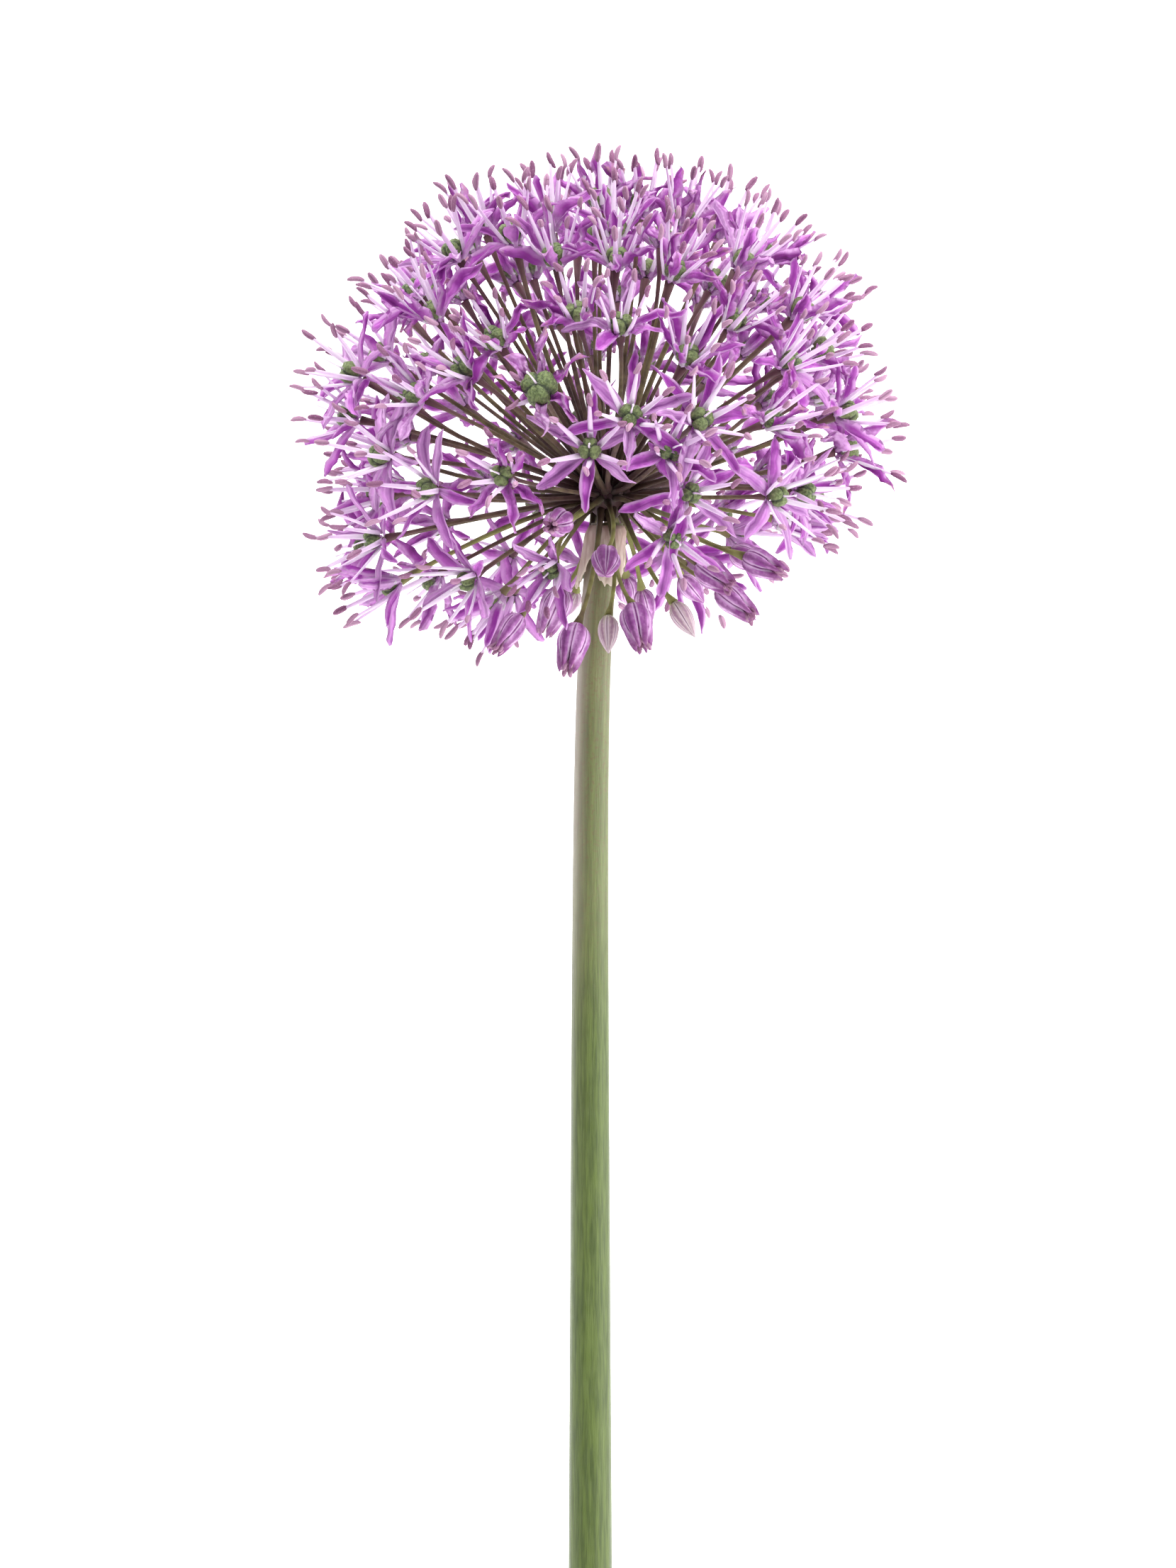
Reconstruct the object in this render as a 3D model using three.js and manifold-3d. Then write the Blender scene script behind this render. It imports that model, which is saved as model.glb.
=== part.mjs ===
// Allium flower head: an ornamental onion in flower, cut and laid down on a flat surface.
//
// A bare, slightly tapering stalk (the scape) carries a round umbel. Every floret of the umbel stands on a
// thin stalk of its own (the pedicel), and all of them leave one knob at the scape's top (the receptacle).
// The florets open from the top down: wide stars over the crown, cupped ones at the sides, closed buds
// underneath. The papery bract that once wrapped the head (the spathe) hangs as a collar below the knob.
//
// Everything is worked out upright, in the flower's own axes, and laid down at the end:
// the origin is the centre of the receptacle, +Y runs up the head, away from the cut end,
// +X is the photograph's right, and +Z points at the viewer. All lengths are in millimetres.

import * as THREE from "three";
import { ConvexGeometry } from "three/addons/geometries/ConvexGeometry.js";
import { mergeVertices } from "three/addons/utils/BufferGeometryUtils.js";
import Module from "manifold-3d";

const wasm = await Module();
wasm.setup();

// Sizes

const MM_PER_PIXEL = 0.1155; // the head is 866 pixels wide across its anthers, and 100 mm
const HUB_PIXEL = [857, 701]; // where the pedicels meet in the photograph
const MIDDLE_PIXEL = [829.5, 1106];
const VIEWER_DISTANCE = 1000; // from the hub, along Z

const FLORETS = 123;
const BARE_CONE = rad(30); // no floret grows this close to the scape
const LOWER_THINNING = 1.65; // above 1, the florets stand further apart towards the scape
const CLOSEST = 0.3; // radians between neighbouring florets
const CROWN_REACH = 44.5; // from the hub to a floret's base, at the top of the head
const SIDE_REACH = 37.5; // the same at the head's sides
const UNDERSIDE_SHARE = 0.5; // the lowest pedicels, as a share of the side ones
const SIDE_LEAN = rad(12); // the head is fuller at the photograph's left than at its right
const REACH_SPREAD = 3.2; // pedicels differ by up to this much either way

const TEPAL_LENGTH = 8.8;
const TEPAL_WIDTH = 2.2;
const TEPAL_BEND_AT = 0.42; // share of a tepal's length where it is widest, and where it bends
const TEPAL_SHUT = rad(32); // how far the tepals lean out in the youngest open florets
const TEPAL_WIDE = rad(76); // and once fully open
const TEPAL_CLOSING = rad(40); // by which they rise again as the floret fades
const TEPAL_BEND_LOST = 0.6; // share of their bend that they lose with it
const TEPAL_MOOD = 1.8; // radians of that for each unit of a floret's difference in age
const STAMEN_LENGTH = 10.2; // filament and anther together
const STAMEN_SHARE = 0.28; // a stamen leans at least this share of its tepal's lean
const PERIANTH_RADIUS = 1.9; // the ring that tepals and stamens grow from
const OVARY_RADIUS = 1.55;
const OVARY_WAIST = 1.4; // height of the ovary's widest ring
const OVARY_HEIGHT = 3.0;
const NECK_DEPTH = 1.3; // from the perianth down to the pedicel's end

const BUD_RINGS = [
  // height above the pedicel's end, and radius
  [0.9, 1.7],
  [3.4, 2.6],
  [6.6, 1.7],
];
const BUD_HEIGHT = 8.6;
const BUD_YOUNGEST = 0.78; // size of the youngest bud, as a share of a ripe one
const BUD_AGE = 0.1; // younger florets are shut
const OPENING_AGE = 0.22; // and younger than this, just opening

const PEDICEL_ROOT_RADIUS = 0.5;
const PEDICEL_END_RADIUS = 0.75;

const KNOB_RADIUS = 4.3; // the receptacle
const ROOT_LIFT = 0.5; // the lower pedicels leave the knob this much less steeply than they end
const SEAT_RADIUS = 2.7; // the knob's flat underside, over the scape
const SEAT_HEIGHT = -4;
const SEAT_SIDES = 8;
const SEAT_GAP = 0.3; // between pieces that sit on each other

const SCAPE_LENGTH = 188; // from the hub to the plain cut
const SCAPE_TOP_RADIUS = 2.55;
const SCAPE_CUT_RADIUS = 3.6;
const SCAPE_SIDES = 16;
const SCAPE_RINGS = 14;
const SCAPE_SWAY = -2.8; // the scape stands this far left of the hub, lower down
const SWAY_LENGTH = 16; // over which it gets there

const SPATHE_LOBES = 3;
const SPATHE_SHORT = 5.5; // length of the bract between its lobes
const SPATHE_LONG = 10; // and at their tips
const SPATHE_THICK = 0.6;
const SPATHE_FLARE = 0.5; // how far its hem stands out
const SPATHE_SIDES = 24;
const SPATHE_STEPS = 4;

const HUB_HEIGHT = 43; // the receptacle's height over the surface, once laid down

// Florets that stand out in the photograph: the pixel of each one's ovary or bud, the length of its
// pedicel, and its age, from 0 for a closed bud to 1 for a spent flower
const LANDMARKS = {
  front_star: { pixel: [833, 636], reach: 36, age: 0.7 },
  old_capsule: { pixel: [766, 556], reach: 40, age: 1 },
  beside_star: { pixel: [888, 590], reach: 38, age: 0.7 },
  right_front: { pixel: [943, 637], reach: 37, age: 0.75 },
  right_front_low: { pixel: [970, 696], reach: 34, age: 0.6 },
  right_front_lowest: { pixel: [946, 757], reach: 31, age: 0.5 },
  bud_over_collar: { pixel: [855, 778], reach: 21, age: 0.09 },
  bud_at_scape: { pixel: [858, 868], reach: 22, age: 0 },
  bud_left_of_scape: { pixel: [815, 880], reach: 24.5, age: 0.16 },
  bud_right_of_scape: { pixel: [892, 852], reach: 21.5, age: 0.16 },
  pale_bud: { pixel: [950, 850], reach: 22.5, age: 0.04 },
  bell_right: { pixel: [985, 795], reach: 22, age: 0.17 },
  bell_right_low: { pixel: [1012, 828], reach: 25, age: 0.16 },
  bell_right_far: { pixel: [1050, 785], reach: 28, age: 0.2 },
  bell_lower_left: { pixel: [735, 868], reach: 26, age: 0.2 },
  low_left: { pixel: [780, 800], reach: 25, age: 0.3 },
  small_left: { pixel: [796, 733], reach: 28, age: 0.2 },
  crown_right: { pixel: [1030, 459], reach: 41, age: 0.8 },
  right_shoulder: { pixel: [1107, 516], reach: 41, age: 0.75 },
  crown_middle: { pixel: [815, 450], reach: 42, age: 0.85 },
  crown_left: { pixel: [703, 485], reach: 41, age: 0.8 },
  left_shoulder: { pixel: [589, 416], reach: 46.5, age: 0.7 },
  left_edge: { pixel: [500, 590], reach: 43.6, age: 0.75 },
  left_edge_low: { pixel: [558, 822], reach: 38, age: 0.3 },
  right_edge: { pixel: [1185, 585], reach: 40.8, age: 0.75 },
  right_edge_high: { pixel: [1150, 500], reach: 41.5, age: 0.8 },
  top_left: { pixel: [775, 310], reach: 46.6, age: 0.8 },
  top_right: { pixel: [962, 318], reach: 46, age: 0.8 },
  top_far_left: { pixel: [725, 340], reach: 46, age: 0.8 },
  top_left_front: { pixel: [785, 372], reach: 44, age: 0.85 },
  top_middle: { pixel: [870, 373], reach: 44, age: 0.85 },
  crown_far_left: { pixel: [645, 362], reach: 47.5, age: 0.75 },
  crown_front: { pixel: [875, 465], reach: 42, age: 0.85 },
  crown_far_right: { pixel: [1123, 445], reach: 44, age: 0.8 },
  left_edge_high: { pixel: [505, 530], reach: 46, age: 0.75 },
  left_front_high: { pixel: [660, 525], reach: 41, age: 0.85 },
  left_front: { pixel: [593, 560], reach: 41, age: 0.8 },
  left_side: { pixel: [545, 645], reach: 41, age: 0.65 },
  left_middle: { pixel: [610, 690], reach: 38, age: 0.6 },
  left_low: { pixel: [535, 760], reach: 39.5, age: 0.5 },
  left_front_low: { pixel: [665, 815], reach: 31, age: 0.5 },
  right_front_high: { pixel: [985, 595], reach: 39, age: 0.75 },
  right_low: { pixel: [1090, 700], reach: 37, age: 0.6 },
};

// Numbers

function rad(degrees) {
  return (degrees * Math.PI) / 180;
}

function mix(a, b, share) {
  return a + (b - a) * share;
}

function smoothstep(low, high, x) {
  const t = Math.min(Math.max((x - low) / (high - low), 0), 1);
  return t * t * (3 - 2 * t);
}

// A seeded draw, the same on every run
function drawer(seed) {
  let state = seed;
  return () => {
    state = (state * 1664525 + 1013904223) % 4294967296;
    return state / 4294967296;
  };
}

function vector(x, y, z) {
  return new THREE.Vector3(x, y, z);
}

// Where the florets stand

// Length of the pedicel that points along a direction, before the florets' own differences
function reachAlong(direction) {
  const fromTop = Math.acos(direction.y);
  const sideways = direction.x / Math.max(Math.hypot(direction.x, direction.z), 1e-6);
  const upper = mix(CROWN_REACH, SIDE_REACH, smoothstep(rad(10), rad(95), fromTop));
  const under = smoothstep(rad(80), rad(140), fromTop + SIDE_LEAN * sideways);
  return upper * mix(1, UNDERSIDE_SHARE, under);
}

// How far open the florets are along a direction: the crown opens first
function ageAlong(direction) {
  const sideways = direction.x / Math.max(Math.hypot(direction.x, direction.z), 1e-6);
  const fromTop = Math.acos(direction.y) + SIDE_LEAN * sideways;
  return mix(0.85, 0, smoothstep(rad(80), rad(140), fromTop));
}

// The golden-angle spiral, from the top of the head down to the bare cone round the scape
function spiralDirection(i) {
  const share = (i + 0.5) / FLORETS;
  const height = 1 - (1 + Math.cos(BARE_CONE)) * share ** LOWER_THINNING;
  const turn = i * Math.PI * (3 - Math.sqrt(5));
  const across = Math.sqrt(1 - height * height);
  return vector(across * Math.cos(turn), height, across * Math.sin(turn));
}

// The point that a pixel shows, on the near side of a ball of this reach round the hub
function landmarkDirection({ pixel, reach }) {
  const found = vector(0, 0, 0);
  for (let round = 0; round < 6; round++) {
    const nearer = (VIEWER_DISTANCE - found.z) / VIEWER_DISTANCE;
    const across = MIDDLE_PIXEL.map((middle, i) => middle + (pixel[i] - middle) * nearer);
    found.x = (across[0] - HUB_PIXEL[0]) * MM_PER_PIXEL;
    found.y = (HUB_PIXEL[1] - across[1]) * MM_PER_PIXEL;
    found.z = Math.sqrt(reach * reach - found.x * found.x - found.y * found.y);
  }
  return found.divideScalar(reach);
}

// Neighbours that stand too close push each other apart; the landmarks hold their places
function relax(florets) {
  for (let round = 0; round < 40; round++) {
    for (const a of florets)
      for (const b of florets) {
        if (a === b || a.fixed) continue;
        const apart = a.direction.angleTo(b.direction);
        if (apart >= CLOSEST) continue;
        const away = a.direction.clone().sub(b.direction).normalize();
        a.direction.addScaledVector(away, 0.5 * (CLOSEST - apart)).normalize();
      }
  }
}

function placeFlorets() {
  const draw = drawer(20);
  const florets = [];
  for (let i = 0; i < FLORETS; i++)
    florets.push({
      direction: spiralDirection(i),
      fixed: false,
      longer: REACH_SPREAD * (2 * draw() - 1),
      older: 0.3 * (draw() - 0.5),
      lean: vector(draw() - 0.5, draw() - 0.5, draw() - 0.5).multiplyScalar(0.35),
      spin: 2 * Math.PI * draw(),
      size: 0.92 + 0.16 * draw(),
    });
  for (const landmark of Object.values(LANDMARKS)) {
    const wanted = landmarkDirection(landmark);
    const free = florets.filter((f) => !f.fixed);
    free.sort((a, b) => a.direction.angleTo(wanted) - b.direction.angleTo(wanted));
    Object.assign(free[0], { direction: wanted, fixed: true, landmark });
  }
  relax(florets);
  for (const f of florets) {
    f.age = f.landmark ? f.landmark.age : ageAlong(f.direction) + f.older;
    f.reach = f.landmark ? f.landmark.reach : reachAlong(f.direction) + f.longer * (0.4 + f.age);
    f.base = f.direction.clone().multiplyScalar(f.reach);
    f.axis = f.direction.clone().addScaledVector(f.lean, f.landmark ? 0 : 1).normalize();
    f.root = rootPoints(f);
  }
  return florets;
}

// The three corners of a pedicel's root, on the receptacle
function rootPoints(f) {
  const rise = ROOT_LIFT * Math.max(0, -f.direction.y);
  const leave = f.direction.clone().add(vector(0, rise, 0)).normalize();
  const centre = leave.clone().multiplyScalar(KNOB_RADIUS);
  return triangle(centre, leave, f, PEDICEL_ROOT_RADIUS);
}

// How the flower lies: the scape's cut end and the lowest florets touch the surface

function layAngle() {
  const edge = SCAPE_CUT_RADIUS * Math.cos(Math.PI / SCAPE_SIDES);
  const across = Math.hypot(SCAPE_LENGTH, edge);
  return Math.asin(HUB_HEIGHT / across) - Math.atan2(edge, SCAPE_LENGTH);
}

const LAY = layAngle();
const WORLD_UP = vector(0, Math.sin(LAY), Math.cos(LAY));

function heightOver(point) {
  return point.dot(WORLD_UP) + HUB_HEIGHT;
}

// A closed shell of triangles, gathered point by point

class Shell {
  constructor() {
    this.points = [];
    this.faces = [];
  }
  point(p) {
    return this.points.push(p) - 1;
  }
  face(a, b, c) {
    this.faces.push(a, b, c);
  }
  // Three faces that rise from triangle a, b, c to a tip, in place of the triangle
  spike(a, b, c, tip) {
    const t = this.point(tip);
    this.face(a, b, t);
    this.face(b, c, t);
    this.face(c, a, t);
  }
  // Joins two rings of equal count; the second lies further along
  tube(first, second) {
    const n = first.length;
    for (let i = 0; i < n; i++) {
      const j = (i + 1) % n;
      this.face(first[i], first[j], second[j]);
      this.face(first[i], second[j], second[i]);
    }
  }
  manifold() {
    const made = new wasm.Manifold(
      new wasm.Mesh({
        numProp: 3,
        vertProperties: new Float32Array(this.points.flatMap((p) => [p.x, p.y, p.z])),
        triVerts: new Uint32Array(this.faces),
      }),
    );
    if (made.volume() <= 0) throw new Error("a shell faces inwards");
    return made;
  }
}

// A floret's own axes: z along its axis, and x and y turned by its spin
function floretMatrix(f) {
  const side = vector(0.31, 0.87, -0.39).cross(f.axis).normalize();
  side.applyAxisAngle(f.axis, f.spin);
  const across = f.axis.clone().cross(side);
  return new THREE.Matrix4().makeBasis(side, across, f.axis).setPosition(f.base);
}

// Points round a floret's axis
function around(matrix, radius, turn, height) {
  return vector(radius * Math.cos(turn), radius * Math.sin(turn), height).applyMatrix4(matrix);
}

// Three points round a centre, square to a direction and turned with the floret
function triangle(centre, along, f, radius) {
  const side = vector(1, 0, 0).transformDirection(floretMatrix(f));
  const u = side.addScaledVector(along, -side.dot(along)).normalize();
  const v = along.clone().cross(u);
  return [30, 150, 270].map((turn) =>
    centre
      .clone()
      .addScaledVector(u, radius * Math.cos(rad(turn)))
      .addScaledVector(v, radius * Math.sin(rad(turn))),
  );
}

// Pedicel, from its root on the receptacle to the three points under the floret

function addPedicel(shell, f, matrix, end) {
  const root = f.root.map((p) => shell.point(p));
  const centre = vector(0, 0, end).applyMatrix4(matrix);
  const neck = triangle(centre, f.axis, f, PEDICEL_END_RADIUS).map((p) => shell.point(p));
  shell.face(root[2], root[1], root[0]);
  shell.tube(root, neck);
  return neck;
}

// Open floret: six tepals, six stamens tapering to their tips, and a three-sided ovary

function openFloret(f, draw) {
  const shell = new Shell();
  const matrix = floretMatrix(f);
  const open = smoothstep(OPENING_AGE, 1, f.age);
  const closing = smoothstep(0.65, 0.95, f.age);
  const spread =
    mix(TEPAL_SHUT, TEPAL_WIDE, smoothstep(OPENING_AGE, 0.6, f.age)) -
    TEPAL_CLOSING * closing +
    TEPAL_MOOD * (f.landmark ? 0 : f.older);
  const bend = mix(rad(4), rad(24), open) * (1 - TEPAL_BEND_LOST * closing);
  const neck = addPedicel(shell, f, matrix, -NECK_DEPTH);
  const notch = [0, 1, 2, 3, 4, 5].map((k) =>
    shell.point(around(matrix, PERIANTH_RADIUS, rad(60 * k + 30), 0)),
  );
  const lobe = [0, 1, 2].map((j) =>
    shell.point(around(matrix, OVARY_RADIUS, rad(120 * j), OVARY_WAIST)),
  );
  for (let k = 0; k < 6; k++) {
    const before = notch[(k + 5) % 6];
    const after = notch[k];
    const length = f.size * TEPAL_LENGTH * (0.92 + 0.16 * draw());
    const rising = spread + rad(14) * (draw() - 0.5);
    const bending = rising + bend * (0.5 + draw());
    const turn = rad(60 * k + 8 * (draw() - 0.5));
    const wide = TEPAL_BEND_AT * length;
    const radius = PERIANTH_RADIUS * Math.cos(rad(30)) + wide * Math.sin(rising);
    const height = wide * Math.cos(rising);
    const far = radius + (length - wide) * Math.sin(bending);
    const half = Math.atan2(TEPAL_WIDTH / 2, radius);
    const edge = Math.hypot(TEPAL_WIDTH / 2, radius);
    const left = shell.point(around(matrix, edge, turn - half, height));
    const right = shell.point(around(matrix, edge, turn + half, height));
    const tip = shell.point(
      around(matrix, far, turn, height + (length - wide) * Math.cos(bending)),
    );
    const keel = neck[Math.floor(k / 2)];
    shell.face(before, right, after);
    shell.face(before, left, right);
    shell.face(left, tip, right);
    shell.face(before, keel, left);
    shell.face(left, keel, tip);
    shell.face(tip, keel, right);
    shell.face(right, keel, after);
    if (k % 2 === 1) shell.face(keel, neck[((k + 1) / 2) % 3], after);

    const reach = f.size * STAMEN_LENGTH * (0.9 + 0.2 * draw());
    const lean = rising * (STAMEN_SHARE + 0.24 * draw());
    const stamen = around(
      matrix,
      PERIANTH_RADIUS * 0.6 + reach * Math.sin(lean),
      turn,
      reach * Math.cos(lean),
    );
    const over = lobe[Math.ceil(k / 2) % 3];
    shell.spike(before, after, over, stamen);
    if (k % 2 === 1) shell.face(before, over, lobe[(k - 1) / 2]);
  }
  const top = shell.point(around(matrix, 0, 0, OVARY_HEIGHT));
  for (let j = 0; j < 3; j++) shell.face(lobe[j], lobe[(j + 1) % 3], top);
  return shell;
}

// Closed bud, or one whose six tips have begun to part

function budFloret(f) {
  const shell = new Shell();
  const matrix = floretMatrix(f);
  const neck = addPedicel(shell, f, matrix, 0);
  const opening = f.age > BUD_AGE;
  const size = f.size * mix(BUD_YOUNGEST, 1, smoothstep(0, BUD_AGE, f.age));
  const rings = BUD_RINGS.map(([height, radius]) =>
    [0, 1, 2, 3, 4, 5].map((k) =>
      shell.point(around(matrix, size * radius, rad(60 * k + 30), size * height)),
    ),
  );
  for (let k = 0; k < 6; k++) {
    const next = (k + 1) % 6;
    const under = neck[Math.floor(next / 2)];
    shell.face(under, rings[0][next], rings[0][k]);
    if (k % 2 === 1) shell.face(neck[(k - 1) / 2], under, rings[0][k]);
  }
  shell.tube(rings[0], rings[1]);
  shell.tube(rings[1], rings[2]);
  const tipHeight = size * (opening ? BUD_RINGS[2][0] : BUD_HEIGHT);
  const top = shell.point(around(matrix, 0, 0, tipHeight));
  for (let k = 0; k < 6; k++) {
    const next = (k + 1) % 6;
    const tip = around(matrix, 1.9 * size, rad(60 * k + 60), 9.2 * size);
    if (opening) shell.spike(rings[2][k], rings[2][next], top, tip);
    else shell.face(rings[2][k], rings[2][next], top);
  }
  return shell;
}

// A floret whose head would reach through the surface is lifted until it only touches
function pressUp(f, shape) {
  const shell = shape(f);
  const lowest = Math.min(...shell.points.map(heightOver));
  if (lowest >= 0) return shell;
  f.base.addScaledVector(WORLD_UP, -lowest);
  return shape(f);
}

// Bodies of revolution, swayed with the scape

function lathe(outline, sides) {
  const geometry = new THREE.LatheGeometry(
    outline.map(([radius, height]) => new THREE.Vector2(radius, height)),
    sides,
    Math.PI / sides,
  );
  geometry.deleteAttribute("normal");
  geometry.deleteAttribute("uv");
  return mergeVertices(geometry, 1e-4);
}

function swayAt(height) {
  const below = Math.max(0, -height - 4);
  return SCAPE_SWAY * (1 - Math.exp(-below / SWAY_LENGTH));
}

function sway(geometry) {
  const position = geometry.getAttribute("position");
  for (let i = 0; i < position.count; i++)
    position.setX(i, position.getX(i) + swayAt(position.getY(i)));
  return geometry;
}

function manifoldOf(geometry) {
  return new wasm.Manifold(
    new wasm.Mesh({
      numProp: 3,
      vertProperties: geometry.getAttribute("position").array,
      triVerts: new Uint32Array(geometry.index.array),
    }),
  );
}

function geometryOf(manifold) {
  const mesh = manifold.getMesh();
  const geometry = new THREE.BufferGeometry();
  geometry.setAttribute("position", new THREE.BufferAttribute(mesh.vertProperties, 3));
  geometry.setIndex(new THREE.BufferAttribute(mesh.triVerts, 1));
  geometry.computeVertexNormals();
  return geometry;
}

// Umbel: receptacle, pedicels, florets and buds, grown together

// The receptacle is the tightest body round the pedicels' roots and its seat over the scape
function receptacle(florets) {
  const points = florets.flatMap((f) => f.root);
  for (let i = 0; i < SEAT_SIDES; i++) {
    const turn = (2 * Math.PI * i) / SEAT_SIDES;
    points.push(vector(SEAT_RADIUS * Math.cos(turn), SEAT_HEIGHT, SEAT_RADIUS * Math.sin(turn)));
  }
  const geometry = new ConvexGeometry(points);
  geometry.deleteAttribute("normal");
  return manifoldOf(mergeVertices(geometry, 1e-4));
}

function umbelGeometry() {
  const draw = drawer(7);
  const florets = placeFlorets();
  const solids = [receptacle(florets)];
  for (const f of florets) {
    const shape = f.age < OPENING_AGE ? budFloret : openFloret;
    const fixedDraws = Array.from({ length: 36 }, draw);
    const shell = pressUp(f, (g) => {
      let next = 0;
      return shape(g, () => fixedDraws[next++]);
    });
    solids.push(shell.manifold());
  }
  return geometryOf(wasm.Manifold.union(solids));
}

// Scape: the bare stalk, down to its plain cut

function scapeRadius(height) {
  return mix(SCAPE_TOP_RADIUS, SCAPE_CUT_RADIUS, -height / SCAPE_LENGTH);
}

function scapeGeometry() {
  const top = SEAT_HEIGHT - SEAT_GAP;
  const outline = [[0, -SCAPE_LENGTH]];
  for (let i = 0; i < SCAPE_RINGS; i++) {
    const share = (i / (SCAPE_RINGS - 1)) ** 0.6;
    const height = mix(-SCAPE_LENGTH, top, share);
    outline.push([scapeRadius(height), height]);
  }
  outline.push([0, top]);
  return sway(lathe(outline, SCAPE_SIDES));
}

// Spathe: a papery collar round the scape's top, split into lobes that hang down

function spatheGeometry() {
  const shell = new Shell();
  const top = SEAT_HEIGHT - SEAT_GAP - 0.5;
  const walls = [0, SPATHE_THICK].map((out) => {
    const rows = [];
    for (let s = 0; s <= SPATHE_STEPS; s++) {
      const share = s / SPATHE_STEPS;
      const row = [];
      for (let i = 0; i < SPATHE_SIDES; i++) {
        const turn = (2 * Math.PI * i) / SPATHE_SIDES;
        const lobe = Math.abs(Math.sin((SPATHE_LOBES * turn) / 2));
        const height = top - share * mix(SPATHE_SHORT, SPATHE_LONG, lobe);
        const radius = scapeRadius(height) + SEAT_GAP + out + SPATHE_FLARE * share * share;
        const x = swayAt(height) + radius * Math.cos(turn);
        row.push(shell.point(vector(x, height, radius * Math.sin(turn))));
      }
      rows.push(row);
    }
    return rows;
  });
  const [inner, outer] = walls;
  for (let s = 0; s < SPATHE_STEPS; s++) {
    shell.tube(outer[s], outer[s + 1]);
    shell.tube(inner[s + 1], inner[s]);
  }
  shell.tube(outer[SPATHE_STEPS], inner[SPATHE_STEPS]);
  shell.tube(inner[0], outer[0]);
  return geometryOf(shell.manifold());
}

// Materials and nodes

function node(name, geometry, colour, roughness) {
  const material = new THREE.MeshStandardMaterial({ color: colour, roughness, metalness: 0 });
  const mesh = new THREE.Mesh(geometry, material);
  mesh.name = name;
  return mesh;
}

const flower = new THREE.Group();
flower.add(node("umbel", umbelGeometry(), 0x9a4fae, 0.6));
flower.add(node("scape", scapeGeometry(), 0x77804f, 0.5));
flower.add(node("spathe", spatheGeometry(), 0xc9b3a0, 0.9));

// Laid down, with the origin under the middle of its box
flower.rotation.x = LAY;
flower.updateMatrixWorld(true);
const box = new THREE.Box3().setFromObject(flower, true);
const middle = box.getCenter(vector(0, 0, 0));
flower.position.set(-middle.x, -middle.y, HUB_HEIGHT);

export default flower;
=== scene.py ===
import math
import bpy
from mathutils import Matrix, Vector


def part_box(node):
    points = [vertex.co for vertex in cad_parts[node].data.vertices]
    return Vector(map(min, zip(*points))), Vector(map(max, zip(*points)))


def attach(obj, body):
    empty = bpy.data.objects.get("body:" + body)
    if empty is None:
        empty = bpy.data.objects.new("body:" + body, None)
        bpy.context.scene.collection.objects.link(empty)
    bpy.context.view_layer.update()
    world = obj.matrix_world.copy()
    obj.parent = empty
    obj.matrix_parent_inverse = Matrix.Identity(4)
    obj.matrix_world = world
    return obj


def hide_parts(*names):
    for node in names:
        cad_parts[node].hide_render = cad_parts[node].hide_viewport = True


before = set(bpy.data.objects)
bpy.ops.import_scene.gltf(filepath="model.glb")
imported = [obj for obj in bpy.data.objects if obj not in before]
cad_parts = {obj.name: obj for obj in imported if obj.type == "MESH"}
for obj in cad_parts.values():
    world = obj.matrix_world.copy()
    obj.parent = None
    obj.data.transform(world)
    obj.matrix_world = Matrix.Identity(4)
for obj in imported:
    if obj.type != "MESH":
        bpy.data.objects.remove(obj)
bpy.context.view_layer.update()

from types import SimpleNamespace

import bpy
import numpy as np

# How the flower lies
# A cut ornamental onion flower laid down: its cut end and its lowest florets touch the surface, and the
# scape slopes up to the hub. Its own axes start there: +Y up the head, +Z to the viewer, in millimetres.

MM = 0.001
SCAPE_LENGTH = 188.0
SCAPE_TOP_RADIUS = 2.55
CUT_RADIUS = 3.6
HUB_HEIGHT = 43.0

# The solid scape has sixteen flat sides, this share of its radius from its middle
FLAT_SHARE = math.cos(math.pi / 16)
CUT_EDGE = CUT_RADIUS * FLAT_SHARE

LAY = math.asin(HUB_HEIGHT / math.hypot(SCAPE_LENGTH, CUT_EDGE)) - math.atan2(CUT_EDGE, SCAPE_LENGTH)
scape_low, scape_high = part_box("scape")
HUB = (
    scape_high.x - MM * SCAPE_TOP_RADIUS * FLAT_SHARE,
    scape_low.y + MM * (SCAPE_LENGTH * math.cos(LAY) + CUT_EDGE * math.sin(LAY)),
    MM * HUB_HEIGHT,
)


# Where the florets stand
# An umbel's florets all leave one knob, and spread themselves evenly: a golden-angle spiral from the top
# of the head to the bare cone round the scape. Those that stand out in the photograph hold their places.

MM_PER_PIXEL = 0.1155
HUB_PIXEL = (857, 701)
MIDDLE_PIXEL = (829.5, 1106)
VIEWER_DISTANCE = 1000.0
AIMING_ROUNDS = 6

FLORETS = 123
FLORET_SEED = 20
BARE_CONE = math.radians(30)
LOWER_THINNING = 1.65
CLOSEST = 0.3
PUSHING_ROUNDS = 40
SKEW = (0.31, 0.87, -0.39)
LEAN_SPREAD = 0.35

ROOT_LIFT = 0.5
CROWN_REACH = 44.5
SIDE_REACH = 37.5
SIDE_FROM = math.radians(10)
SIDE_AT = math.radians(95)
UNDERSIDE_SHARE = 0.5
UNDERSIDE_FROM = math.radians(80)
UNDERSIDE_AT = math.radians(140)
SIDE_LEAN = math.radians(12)
REACH_SPREAD = 3.2

CROWN_AGE = 0.85
AGE_SPREAD = 0.3

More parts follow.
